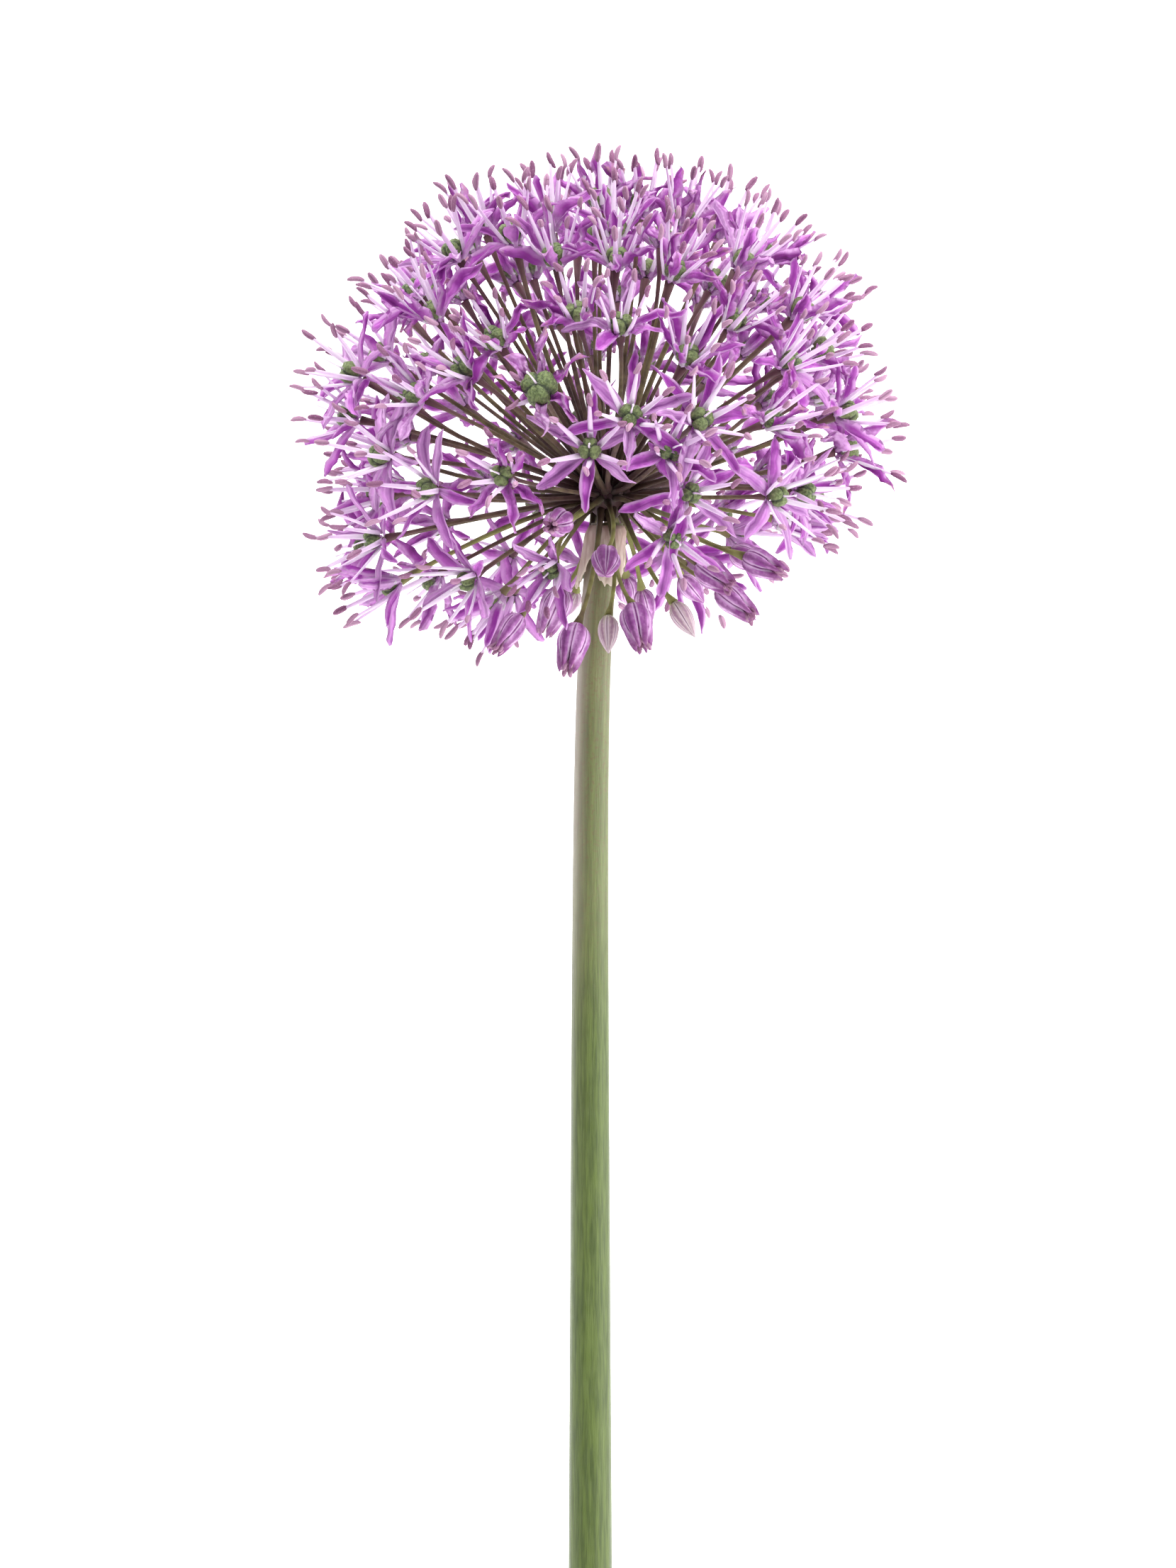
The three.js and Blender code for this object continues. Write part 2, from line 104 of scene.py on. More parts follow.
# The column and row of a floret's ovary or bud in the photograph, its pedicel's length, and its age
LANDMARKS = {
    "front_star": (833, 636, 36, 0.7),
    "old_capsule": (766, 556, 40, 1),
    "beside_star": (888, 590, 38, 0.7),
    "right_front": (943, 637, 37, 0.75),
    "right_front_low": (970, 696, 34, 0.6),
    "right_front_lowest": (946, 757, 31, 0.5),
    "bud_over_collar": (855, 778, 21, 0.09),
    "bud_at_scape": (858, 868, 22, 0),
    "bud_left_of_scape": (815, 880, 24.5, 0.16),
    "bud_right_of_scape": (892, 852, 21.5, 0.16),
    "pale_bud": (950, 850, 22.5, 0.04),
    "bell_right": (985, 795, 22, 0.17),
    "bell_right_low": (1012, 828, 25, 0.16),
    "bell_right_far": (1050, 785, 28, 0.2),
    "bell_lower_left": (735, 868, 26, 0.2),
    "low_left": (780, 800, 25, 0.3),
    "small_left": (796, 733, 28, 0.2),
    "crown_right": (1030, 459, 41, 0.8),
    "right_shoulder": (1107, 516, 41, 0.75),
    "crown_middle": (815, 450, 42, 0.85),
    "crown_left": (703, 485, 41, 0.8),
    "left_shoulder": (589, 416, 46.5, 0.7),
    "left_edge": (500, 590, 43.6, 0.75),
    "left_edge_low": (558, 822, 38, 0.3),
    "right_edge": (1185, 585, 40.8, 0.75),
    "right_edge_high": (1150, 500, 41.5, 0.8),
    "top_left": (775, 310, 46.6, 0.8),
    "top_right": (962, 318, 46, 0.8),
    "top_far_left": (725, 340, 46, 0.8),
    "top_left_front": (785, 372, 44, 0.85),
    "top_middle": (870, 373, 44, 0.85),
    "crown_far_left": (645, 362, 47.5, 0.75),
    "crown_front": (875, 465, 42, 0.85),
    "crown_far_right": (1123, 445, 44, 0.8),
    "left_edge_high": (505, 530, 46, 0.75),
    "left_front_high": (660, 525, 41, 0.85),
    "left_front": (593, 560, 41, 0.8),
    "left_side": (545, 645, 41, 0.65),
    "left_middle": (610, 690, 38, 0.6),
    "left_low": (535, 760, 39.5, 0.5),
    "left_front_low": (665, 815, 31, 0.5),
    "right_front_high": (985, 595, 39, 0.75),
    "right_low": (1090, 700, 37, 0.6),
}


def mix(a, b, share):
    return a + (b - a) * share


def smoothstep(low, high, x):
    t = min(max((x - low) / (high - low), 0), 1)
    return t * t * (3 - 2 * t)


def drawer(seed):
    """Seeded draws from 0 to 1, the same on every run"""
    state = seed
    span = 2**32
    while True:
        state = (state * 1664525 + 1013904223) % span
        yield state / span


def off(draw):
    """A drawn number from -0.5 to 0.5"""
    return next(draw) - 0.5


def jolt(draw):
    """A small drawn arrow, from -0.5 to 0.5 each way"""
    return np.array([off(draw) for _ in range(3)])


def note(rows, **numbers):
    """Writes down the numbers of one floret, tepal or other copy, each by its name"""
    rows.append(SimpleNamespace(**numbers))


def unit(v):
    return v / math.sqrt(float(v @ v))


def underside(direction):
    """0 over the head and 1 under it; the head hangs a little lower on one side"""
    x, y, z = direction
    lean = math.acos(y) + SIDE_LEAN * (x / max(math.hypot(x, z), 1e-6))
    return smoothstep(UNDERSIDE_FROM, UNDERSIDE_AT, lean)


def reach_along(direction):
    upper = mix(CROWN_REACH, SIDE_REACH, smoothstep(SIDE_FROM, SIDE_AT, math.acos(direction[1])))
    return upper * mix(1, UNDERSIDE_SHARE, underside(direction))


def age_along(direction):
    return mix(CROWN_AGE, 0, underside(direction))


def spiral_direction(i):
    share = (i + 0.5) / FLORETS
    height = 1 - (1 + math.cos(BARE_CONE)) * share**LOWER_THINNING
    turn = i * math.pi * (3 - math.sqrt(5))
    across = math.sqrt(1 - height * height)
    return np.array([across * math.cos(turn), height, across * math.sin(turn)])


def from_hub(column, row):
    """How far right of the hub and above it a pixel lies, at the hub's distance"""
    return (column - HUB_PIXEL[0]) * MM_PER_PIXEL, (HUB_PIXEL[1] - row) * MM_PER_PIXEL


def landmark_direction(column, row, reach):
    """Where a floret of this reach stands, to be seen at its pixel by a viewer not far away"""
    z = 0.0
    for _ in range(AIMING_ROUNDS):
        nearer = (VIEWER_DISTANCE - z) / VIEWER_DISTANCE
        x, y = from_hub(*(m + (p - m) * nearer for m, p in zip(MIDDLE_PIXEL, (column, row))))
        z = math.sqrt(reach * reach - x * x - y * y)
    return np.array([x, y, z]) / reach


def relax(florets):
    """Neighbours that stand too close push each other apart"""
    places = [tuple(f.direction) for f in florets]
    near = math.cos(CLOSEST)
    for _ in range(PUSHING_ROUNDS):
        for i, f in enumerate(florets):
            if f.fixed:
                continue
            ax, ay, az = places[i]
            for j, (bx, by, bz) in enumerate(places):
                dot = ax * bx + ay * by + az * bz
                if i == j or dot <= near:
                    continue
                apart = math.acos(min(dot, 1.0))
                dx, dy, dz = ax - bx, ay - by, az - bz
                push = 0.5 * (CLOSEST - apart) / math.sqrt(dx * dx + dy * dy + dz * dz)
                ax, ay, az = ax + dx * push, ay + dy * push, az + dz * push
                size = math.sqrt(ax * ax + ay * ay + az * az)
                ax, ay, az = ax / size, ay / size, az / size
            places[i] = (ax, ay, az)
    for f, place in zip(florets, places):
        f.direction = np.array(place)


def floret_axes(f):
    """Two ways across a floret, turned by its spin"""
    side = unit(np.cross(SKEW, f.axis))
    across = np.cross(f.axis, side)
    turned = side * math.cos(f.spin) + across * math.sin(f.spin)
    return turned, np.cross(f.axis, turned)


def place_florets():
    draw = drawer(FLORET_SEED)
    florets = []
    for i in range(FLORETS):
        note(
            florets,
            direction=spiral_direction(i),
            fixed=False,
            longer=REACH_SPREAD * (2 * next(draw) - 1),
            older=AGE_SPREAD * off(draw),
            lean=LEAN_SPREAD * jolt(draw),
            spin=2 * math.pi * next(draw),
            size=0.92 + 0.16 * next(draw),
        )
    for column, row, reach, age in LANDMARKS.values():
        wanted = landmark_direction(column, row, reach)
        free = [f for f in florets if not f.fixed]
        nearest = max(free, key=lambda f: float(f.direction @ wanted))
        nearest.direction, nearest.fixed = wanted, True
        nearest.reach, nearest.age = reach, age
    relax(florets)
    for f in florets:
        d = f.direction
        if f.fixed:
            f.axis = d
        else:
            f.age = age_along(d) + f.older
            f.reach = reach_along(d) + f.longer * (0.4 + f.age)
            f.axis = unit(d + f.lean)
        f.base = d * f.reach
        f.leave = unit(d + np.array([0, ROOT_LIFT * max(0.0, -d[1]), 0]))
        f.side, f.across = floret_axes(f)
    return florets


florets = place_florets()


# Tepals and stamens, counted out
# Every open floret has six tepals, with a stamen before each. Their lengths and angles differ a little,
# and a floret that would reach through the surface is pressed up until it touches.

WORLD_UP = np.array([0.0, math.sin(LAY), math.cos(LAY)])
SIX = range(6)
PARTS_SEED = 7
BUD_AGE = 0.1
OPENING_AGE = 0.22
TEPAL_LENGTH = 8.8
TEPAL_SHUT = math.radians(32)
TEPAL_WIDE = math.radians(76)
WIDE_AGE = 0.6
TEPAL_CLOSING = math.radians(40)
CLOSING_AGES = (0.65, 0.95)
TEPAL_BEND_YOUNG = math.radians(4)
TEPAL_BEND_OLD = math.radians(24)
TEPAL_BEND_LOST = 0.6
TEPAL_BEND_AT = 0.42
TEPAL_MOOD = 1.8
TEPAL_SPREAD = math.radians(14)
STAMEN_LENGTH = 10.2
STAMEN_SHARE = 0.28
PERIANTH_RADIUS = 1.9
TEPAL_CIRCLE = PERIANTH_RADIUS * 0.866
STAMEN_CIRCLE = PERIANTH_RADIUS * 0.6
ANTHER_ALLOWANCE = 0.4
BUD_YOUNGEST = 0.78
BUD_LENGTH = 8.6

# The widest and the highest ring of points of a closed and of an opening bud: radius and height
CLOSED_TIPS = ((2.6, 3.4), (0.4, BUD_LENGTH))
OPENING_TIPS = ((1.9, 9.2), (2.6, 3.4))

draw = drawer(PARTS_SEED)
for f in florets:
    f.open = smoothstep(OPENING_AGE, 1, f.age)
    f.grown = f.size * mix(BUD_YOUNGEST, 1, smoothstep(0, BUD_AGE, f.age))
    closing = smoothstep(*CLOSING_AGES, f.age)
    spread = mix(TEPAL_SHUT, TEPAL_WIDE, smoothstep(OPENING_AGE, WIDE_AGE, f.age))
    spread -= TEPAL_CLOSING * closing
    spread += 0 if f.fixed else TEPAL_MOOD * f.older
    bend = mix(TEPAL_BEND_YOUNG, TEPAL_BEND_OLD, f.open) * (1 - TEPAL_BEND_LOST * closing)
    f.parts = []
    for k in SIX:
        length = f.size * TEPAL_LENGTH * (0.92 + 0.16 * next(draw))
        rising = spread + TEPAL_SPREAD * off(draw)
        note(
            f.parts,
            length=length,
            rising=rising,
            bending=rising + bend * (0.5 + next(draw)),
            turn=math.radians(60 * k + 8 * off(draw)),
            reach=f.size * STAMEN_LENGTH * (0.9 + 0.2 * next(draw)),
            lean=rising * (STAMEN_SHARE + 0.24 * next(draw)),
        )


def outward(f, turn):
    return f.side * math.cos(turn) + f.across * math.sin(turn)


def height_over(point):
    """How high a point of the flower stands over the surface"""
    return float(point @ WORLD_UP) + HUB_HEIGHT


def lowest_point(f):
    """Of the tips of a floret's tepals and stamens, or of a bud"""
    if f.age < OPENING_AGE:
        return min(
            height_over(f.base + f.grown * (r * outward(f, math.radians(60 * k)) + h * f.axis))
            for r, h in (OPENING_TIPS if f.age > BUD_AGE else CLOSED_TIPS)
            for k in SIX
        )
    low = math.inf
    for p in f.parts:
        out = outward(f, p.turn)
        inner = TEPAL_BEND_AT * p.length
        outer = (1 - TEPAL_BEND_AT) * p.length
        r = TEPAL_CIRCLE + inner * math.sin(p.rising) + outer * math.sin(p.bending)
        h = inner * math.cos(p.rising) + outer * math.cos(p.bending)
        low = min(low, height_over(f.base + r * out + h * f.axis))
        r = STAMEN_CIRCLE + p.reach * math.sin(p.lean)
        h = p.reach * math.cos(p.lean)
        low = min(low, height_over(f.base + r * out + h * f.axis) - ANTHER_ALLOWANCE)
    return low


for f in florets:
    f.base = f.base + WORLD_UP * max(0.0, -lowest_point(f))

buds = [f for f in florets if f.age < BUD_AGE]
opening = [f for f in florets if BUD_AGE <= f.age < OPENING_AGE]
open_florets = [f for f in florets if f.age >= OPENING_AGE]


# Pedicels and receptacle
# The florets' thin stalks, brown-purple with painted shade darkening them towards the hub, and greener on
# the young ones below, and the knob they all grow from, painted in the same shade. Juicy living tissue, and
# one piece with the florets.

PEDICEL_SEED = 31
PEDICEL_SIDES = 7
PEDICEL_STEPS = 9
PEDICEL_BOW = 4.0
PEDICEL_PROFILE = [(0, 0.65), (0.1, 0.46), (0.45, 0.39), (0.93, 0.42), (1, 0.8)]
KNOB_RADIUS = 4.3
ROOT_DEPTH = 0.8
NECK = 1.0
KNOB_SKIN = 4.1
KNOB_FLOOR = -4.0
KNOB_PROFILE = [(0, 0.62), (0.12, 0.66), (0.3, 0.86), (0.55, 1), (1, 1)]

PEDICEL_BROWN = ((0.038, 0.013, 0.015), (0.130, 0.084, 0.052))
PEDICEL_OLIVE = ((0.066, 0.050, 0.024), (0.185, 0.150, 0.070))
PEDICEL_GREEN = ((0.15, 0.14, 0.045), (0.28, 0.31, 0.09))
PEDICEL_MAUVE = (0.11, 0.045, 0.06)
# Painted shade where the stalks crowd at the hub
HUB_PAINTED_SHADE = (0.034, 0.011, 0.015)
PEDICEL_SHEEN = (1.0, 0.9, 0.75)

# The numbers of a copy that its material reads
SEEN = ("young", "tone", "faded")


class Link:
    """A socket of a tree of nodes; sums and products of links add the nodes for them"""

    def __init__(self, tree, socket):
        self.tree = tree
        self.socket = socket

    def _do(self, operation, *values):
        vectors = [isinstance(v, Link) and v.socket.type in ("VECTOR", "RGBA") for v in values]
        kind = "ShaderNodeVectorMath" if any(vectors) else "ShaderNodeMath"
        return add(self.tree, kind, {"operation": operation}, dict(enumerate(values)))

    def __add__(self, other):
        return self._do("ADD", self, other)

    def __radd__(self, other):
        return self._do("ADD", other, self)

    def __sub__(self, other):
        return self._do("SUBTRACT", self, other)

    def __rsub__(self, other):
        return self._do("SUBTRACT", other, self)

    def __mul__(self, other):
        return self._do("MULTIPLY", self, other)

    def __rmul__(self, other):
        return self._do("MULTIPLY", other, self)

    def __truediv__(self, other):
        return self._do("DIVIDE", self, other)

    def __rtruediv__(self, other):
        return self._do("DIVIDE", other, self)

    def __pow__(self, other):
        return self._do("POWER", self, other)

    def __neg__(self):
        return self._do("MULTIPLY", self, -1.0)

    def sine(self):
        return self._do("SINE", self)

    def cosine(self):
        return self._do("COSINE", self)

    def exponential(self):
        return self._do("EXPONENT", self)

    def size(self):
        return self._do("ABSOLUTE", self)

    def at_least(self, other):
        return self._do("MAXIMUM", self, other)

    def at_most(self, other):
        return self._do("MINIMUM", self, other)

    def cross(self, other):
        return self._do("CROSS_PRODUCT", self, other)

    def turn_from(self, other):
        return self._do("ARCTAN2", self, other)

    def ramp(self, low, high):
        """0 below low, 1 above high, and smooth between"""
        t = ((self - low) / (high - low)).at_least(0.0).at_most(1.0)
        return t * t * (3.0 - 2.0 * t)


def add(tree, kind, settings=None, inputs=None, output=None):
    """A node of this type: its settings first, then the values or links of its sockets"""
    node = tree.nodes.new(kind)
    for name, value in (settings or {}).items():
        if name == "curve":
            points = node.mapping.curves[0].points
            while len(points) < len(value):
                points.new(0.5, 0.5)
            for point, place in zip(points, value):
                point.location = place
            node.mapping.update()
        else:
            setattr(node, name, value)
    feed(tree, node, inputs or {})
    usable = [s for s in node.outputs if s.enabled and output in (None, s.name)]
    return Link(tree, usable[0]) if usable else None


def feed(tree, node, inputs):
    """Gives a node's sockets their links, or their values; a colour's last number is always 1"""
    for name, value in inputs.items():
        usable = [s for s in node.inputs if s.enabled]
        socket = usable[name] if isinstance(name, int) else next(s for s in usable if s.name == name)
        if isinstance(value, Link):
            tree.links.new(value.socket, socket)
        elif socket.type in ("VECTOR", "RGBA") and isinstance(value, (int, float)):
            socket.default_value = [value] * len(socket.default_value)
        else:
            socket.default_value = (*value, 1.0) if socket.type == "RGBA" else value


def vector_of(tree, *values):
    return add(tree, "ShaderNodeCombineXYZ", inputs=dict(enumerate(values)))


class Sprout:
    """What a shape's formula reads: the small body's own points, each copy's numbers, and the sizes"""

    def __init__(self, tree):
        self.tree = tree
        self.place = add(tree, "GeometryNodeInputPosition")

    def part(self, letter):
        return add(self.tree, "ShaderNodeSeparateXYZ", inputs={0: self.place}, output=letter)

    def turn(self):
        """The angle round the small body's own axis"""
        return self.part("Y").turn_from(self.part("X"))

    def number(self, name, kind="FLOAT"):
        return add(self.tree, "GeometryNodeInputNamedAttribute", {"data_type": kind}, {"Name": name})

    def arrow(self, name):
        return self.number(name, "FLOAT_VECTOR")

    def size(self, name):
        return add(self.tree, "NodeGroupInput", output=name)

    def curve(self, stops, value):
        return add(self.tree, "ShaderNodeFloatCurve", {"curve": stops}, {"Value": value})

    def ring(self, middle, radius):
        """A round section of this radius, square to the copy's axis"""
        axis, side = self.arrow("axis"), self.arrow("side")
        return middle + side * (self.part("X") * radius) + axis.cross(side) * (self.part("Y") * radius)


def grow(name, starts, body, sizes, shape, material):
    """Copies one small body to every start, shapes each copy by its own numbers, and makes one plain mesh"""
    body_kind, counts, fixed, settings = body
    numbers = {**counts, **sizes}
    tree = bpy.data.node_groups.new(name, "GeometryNodeTree")
    tree.interface.new_socket("Starts", in_out="INPUT", socket_type="NodeSocketGeometry")
    for label, value in numbers.items():
        kind = "NodeSocketInt" if isinstance(value, int) else "NodeSocketFloat"
        tree.interface.new_socket(label, in_out="INPUT", socket_type=kind)
    tree.interface.new_socket("Piece", in_out="OUTPUT", socket_type="NodeSocketGeometry")

    sprout = Sprout(tree)
    counted = {label: sprout.size(label) for label in counts}
    small = add(tree, body_kind, settings, {**fixed, **counted}, "Mesh")
    spread = {"Points": sprout.size("Starts"), "Instance": small}
    copies = add(tree, "GeometryNodeInstanceOnPoints", inputs=spread)
    flesh = add(tree, "GeometryNodeRealizeInstances", inputs={"Geometry": copies})
    place, marks = shape(sprout)
    for label, value in marks.items():
        stored = {"Geometry": flesh, "Name": label, "Value": value}
        settings = {"data_type": "FLOAT", "domain": "POINT"}
        flesh = add(tree, "GeometryNodeStoreNamedAttribute", settings, stored)
    for step, inputs in (
        ("SetPosition", {"Position": place}),
        ("Transform", {"Translation": HUB, "Rotation": (LAY, 0, 0), "Scale": (MM, MM, MM)}),
        ("SetShadeSmooth", {"Shade Smooth": True}),
        ("SetMaterial", {"Material": material}),
    ):
        flesh = add(tree, "GeometryNode" + step, inputs={"Geometry": flesh, **inputs})
    add(tree, "NodeGroupOutput", inputs={"Piece": flesh})

    mesh = bpy.data.meshes.new(name)
    mesh.from_pydata([(0, 0, 0)] * len(starts), [], [])
    for label in vars(starts[0]):
        values = np.asarray([getattr(start, label) for start in starts], np.float32)
        kind, field = ("FLOAT_VECTOR", "vector") if values.ndim == 2 else ("FLOAT", "value")
        mesh.attributes.new(label, kind, "POINT").data.foreach_set(field, values.ravel())
    piece = bpy.data.objects.new(name, mesh)
    bpy.context.scene.collection.objects.link(piece)
    growth = piece.modifiers.new("growth", "NODES")
    growth.node_group = tree
    for item in tree.interface.items_tree:
        if item.in_out == "INPUT" and item.name in numbers:
            growth[item.identifier] = numbers[item.name]
    grown = piece.evaluated_get(bpy.context.evaluated_depsgraph_get())
    piece.data = bpy.data.meshes.new_from_object(grown)
    piece.modifiers.remove(growth)
    piece.data.name = name
    for label in vars(starts[0]):
        if label not in SEEN:
            piece.data.attributes.remove(piece.data.attributes[label])
    return piece


def rod(sides, steps, ends="NGON"):
    """A small closed rod along Z: x and y run round it, and z runs from -0.5 to 0.5"""
    counts = {"Vertices": sides, "Side Segments": steps}
    return "GeometryNodeMeshCylinder", counts, {"Radius": 1.0, "Depth": 1.0}, {"fill_type": ends}


def ball(segments, rings):
    """A small ball round the origin, with its poles on Z"""
    return "GeometryNodeMeshUVSphere", {"Segments": segments, "Rings": rings}, {"Radius": 1.0}, {}


def new_finish(name):
    material = bpy.data.materials.new(name)
    material.use_nodes = True
    return material, material.node_tree


def coat(tree, inputs):
    feed(tree, tree.nodes["Principled BSDF"], inputs)


def mark(tree, name):
    return add(tree, "ShaderNodeAttribute", {"attribute_name": name}, output="Fac")


def blend(tree, share, first, second):
    inputs = {"Factor": share, "A": first, "B": second}
    return add(tree, "ShaderNodeMix", {"data_type": "RGBA"}, inputs)


def glaze(tree, colour, *layers):
    """Lays one colour after another over the first, each as strongly as its mask says"""
    for mask, over in layers:
        colour = blend(tree, mask, colour, over)
    return colour


def noise_at(tree, where, scale, detail):
    values = {"Vector": where, "Scale": scale, "Detail": detail}
    return add(tree, "ShaderNodeTexNoise", inputs=values, output="Fac")


def noise(tree, size, detail):
    """Noise over the piece from 0 to 1, with patches of this size in millimetres"""
    return noise_at(tree, add(tree, "ShaderNodeTexCoord", output="Object"), 1 / (size * MM), detail)


def pedicel_shape(s):
    """Follows a soft curve from the knob to the floret's neck"""
    u = s.part("Z") + 0.5
    back = 1.0 - u
    root, start, end, finish = s.arrow("root"), s.arrow("start"), s.arrow("end"), s.arrow("finish")
    path = root * (back**3.0) + start * (3.0 * u * back * back)
    path = path + end * (3.0 * u * u * back) + finish * (u**3.0)
    radius = s.curve(PEDICEL_PROFILE, u) * s.size("Thickness") * s.number("stout")
    return s.ring(path, radius), {"along": u}


def knob_shape(s):
    """A round knob, drawn in below to sit on the scape"""
    x, y, z = s.part("X"), s.part("Y"), s.part("Z")
    r = s.size("Radius")
    wide = s.curve(KNOB_PROFILE, z * 0.5 + 0.5)
    up = (z * r).at_least(KNOB_FLOOR)
    # An along of 0 gives the whole knob the stalks' painted hub shade
    return vector_of(s.tree, x * r * wide, up, y * r * wide), {"along": 0.0 * z}


def pedicel_finish():
    """Streaked brown or olive, mauve at the neck, green where the floret is young, and darkened towards the
    hub by painted shade
    """
    material, tree = new_finish("pedicels")
    along, young, tone = mark(tree, "along"), mark(tree, "young"), mark(tree, "tone")
    grain = noise(tree, 2.5, 3.0)
    streak = grain.ramp(0.25, 0.75)
    brown, olive, green = (blend(tree, streak, *c) for c in (PEDICEL_BROWN, PEDICEL_OLIVE, PEDICEL_GREEN))
    colour = glaze(
        tree,
        brown,
        (tone.ramp(0.4, 0.9), olive),
        (along.ramp(0.6, 1.0) * 0.8, PEDICEL_MAUVE),
        (young, green),
        # Painted shade: darker towards the hub, where the stalks crowd
        ((1.0 - along.ramp(0.05, 0.55)) * 0.8, HUB_PAINTED_SHADE),
    )
    coat(tree, {"Base Color": colour, "Roughness": 0.42 + 0.2 * grain, "Specular IOR Level": 0.2})
    coat(tree, {"Sheen Weight": 0.06, "Sheen Roughness": 0.35, "Sheen Tint": PEDICEL_SHEEN})
    return material


rows = []
draw = drawer(PEDICEL_SEED)
for f in florets:
    root = f.leave * (KNOB_RADIUS - ROOT_DEPTH)
    finish = f.base - f.axis * (0.0 if f.age < OPENING_AGE else NECK)
    length = math.sqrt(float((finish - root) @ (finish - root)))
    straight = (finish - root) / length
    bow = PEDICEL_BOW * jolt(draw)
    note(
        rows,
        root=root,
        start=root + length * 0.33 * unit(straight + 0.35 * f.leave) + bow,
        end=finish - length * 0.33 * unit(straight + 0.35 * f.axis) + bow,
        finish=finish,
        axis=straight,
        side=unit(np.cross(SKEW, straight)),
        stout=f.size * (0.9 + 0.2 * next(draw)),
        young=1 - smoothstep(0.05, 0.5, f.age + 0.3 * off(draw)),
        tone=next(draw),
    )
pedicel_material = pedicel_finish()
body = rod(PEDICEL_SIDES, PEDICEL_STEPS)
pedicels = grow("pedicels", rows, body, {"Thickness": 1.0}, pedicel_shape, pedicel_material)
lone = [SimpleNamespace(young=0.0, tone=0.5)]
knob = grow("receptacle", lone, ball(24, 14), {"Radius": KNOB_SKIN}, knob_shape, pedicel_material)
for piece in (pedicels, knob):
    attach(piece, "root")
    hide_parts("umbel")


# Tepals
# Six narrow petals to a floret, each a blunt strap with a keel, thin and soft like all petal tissue.
# Pale lilac at the foot and at the rims, whose paleness is partly painted highlight, deeper along the
# midrib; they grow from below the ovary.

TEPAL_SEED = 41
TEPAL_WIDTH = 2.35
TEPAL_THICKNESS = 0.22
TEPAL_SIDES = 8
TEPAL_STEPS = 9
TEPAL_PROFILE = [(0, 0.42), (0.12, 0.62), (0.36, 1), (0.66, 0.9), (0.86, 0.68), (0.96, 0.4), (1, 0.14)]
TEPAL_CRUMPLE = 1.3
TEPAL_FOOT = 0.75
TEPAL_SILL = -0.75
TEPAL_BELOW = 1.3
STAR_AGE = 0.78
STAR_WEARINESS = 0.15
SPENT_AGE = 1

TEPAL_FLESH = ((0.34, 0.035, 0.38), (0.76, 0.27, 0.78))
TEPAL_LIGHT = (0.95, 0.76, 0.96)
TEPAL_DEEP = (0.22, 0.014, 0.25)
# Paler margins, partly a painted highlight along the tepal's edges
TEPAL_MARGIN_AND_PAINTED_HIGHLIGHT = (0.97, 0.84, 0.97)
TEPAL_RIB = (0.28, 0.035, 0.33)
TEPAL_VEIN = (0.30, 0.05, 0.35)
TEPAL_PALE_FOOT = (0.86, 0.66, 0.90)
TEPAL_TIP = (0.74, 0.50, 0.76)
TEPAL_SPENT = (0.22, 0.018, 0.20)
TEPAL_DRY = (0.62, 0.42, 0.34)
TEPAL_GLOW = (0.92, 0.42, 0.94)


def tepal_shape(s):
    """A strap bent in an arc out from the floret's axis, channelled, twisted a little, and blunt"""
    u = s.part("Z") + 0.5
    first, change, length = s.number("first"), s.number("change"), s.number("length")
    angle = first + change * u
    axis, radial = s.arrow("axis"), s.arrow("radial")
    out = (first.cosine() - angle.cosine()) / change * length + s.size("Foot")
    up = (angle.sine() - first.sine()) / change * length + s.size("Sill")
    across = axis.cross(radial)
    inward = axis * angle.sine() - radial * angle.cosine()
    twist = s.number("twist") * u * u
    wide_way = across * twist.cosine() + inward * twist.sine()
    thin_way = inward * twist.cosine() - across * twist.sine()
    half = s.curve(TEPAL_PROFILE, u) * s.size("Width") * 0.5 * s.number("broad")
    v = s.part("X")
    channel = (v * v - 0.35) * half * s.number("channel")
    thick = s.part("Y") * s.size("Thickness") * 0.5 * (1.15 - v * v)
    wave = (u * 9.0 + s.number("tone") * 20.0).sine() * 0.2 * v * u
    place = s.arrow("base") + axis * up + radial * out
    place = place + wide_way * (v * half) + thin_way * (channel + thick + wave)
    field = {"Vector": place * 0.3, "Scale": 1.0, "Detail": 1.5}
    uneven = add(s.tree, "ShaderNodeTexNoise", inputs=field, output="Color")
    crumple = u.ramp(0.1, 0.6) * s.number("crumple") * s.size("Crumple")
    place = place + (uneven - 0.5) * crumple
    return place, {"along": u, "across": v, "inside": s.part("Y")}


def raise_grain(tree, strength, depth, height):
    """Lets a pattern stand up from the surface, at most this deep in millimetres"""
    values = {"Strength": strength, "Distance": depth * MM, "Height": height}
    coat(tree, {"Normal": add(tree, "ShaderNodeBump", inputs=values)})


def let_light_through(tree, share, colour):
    """The glow of thin tissue with light behind it"""
    glow = add(tree, "ShaderNodeBsdfTranslucent", inputs={"Color": colour})
    skin = Link(tree, tree.nodes["Principled BSDF"].outputs[0])
    both = add(tree, "ShaderNodeMixShader", inputs={0: share, 1: skin, 2: glow})
    feed(tree, tree.nodes["Material Output"], {"Surface": both})


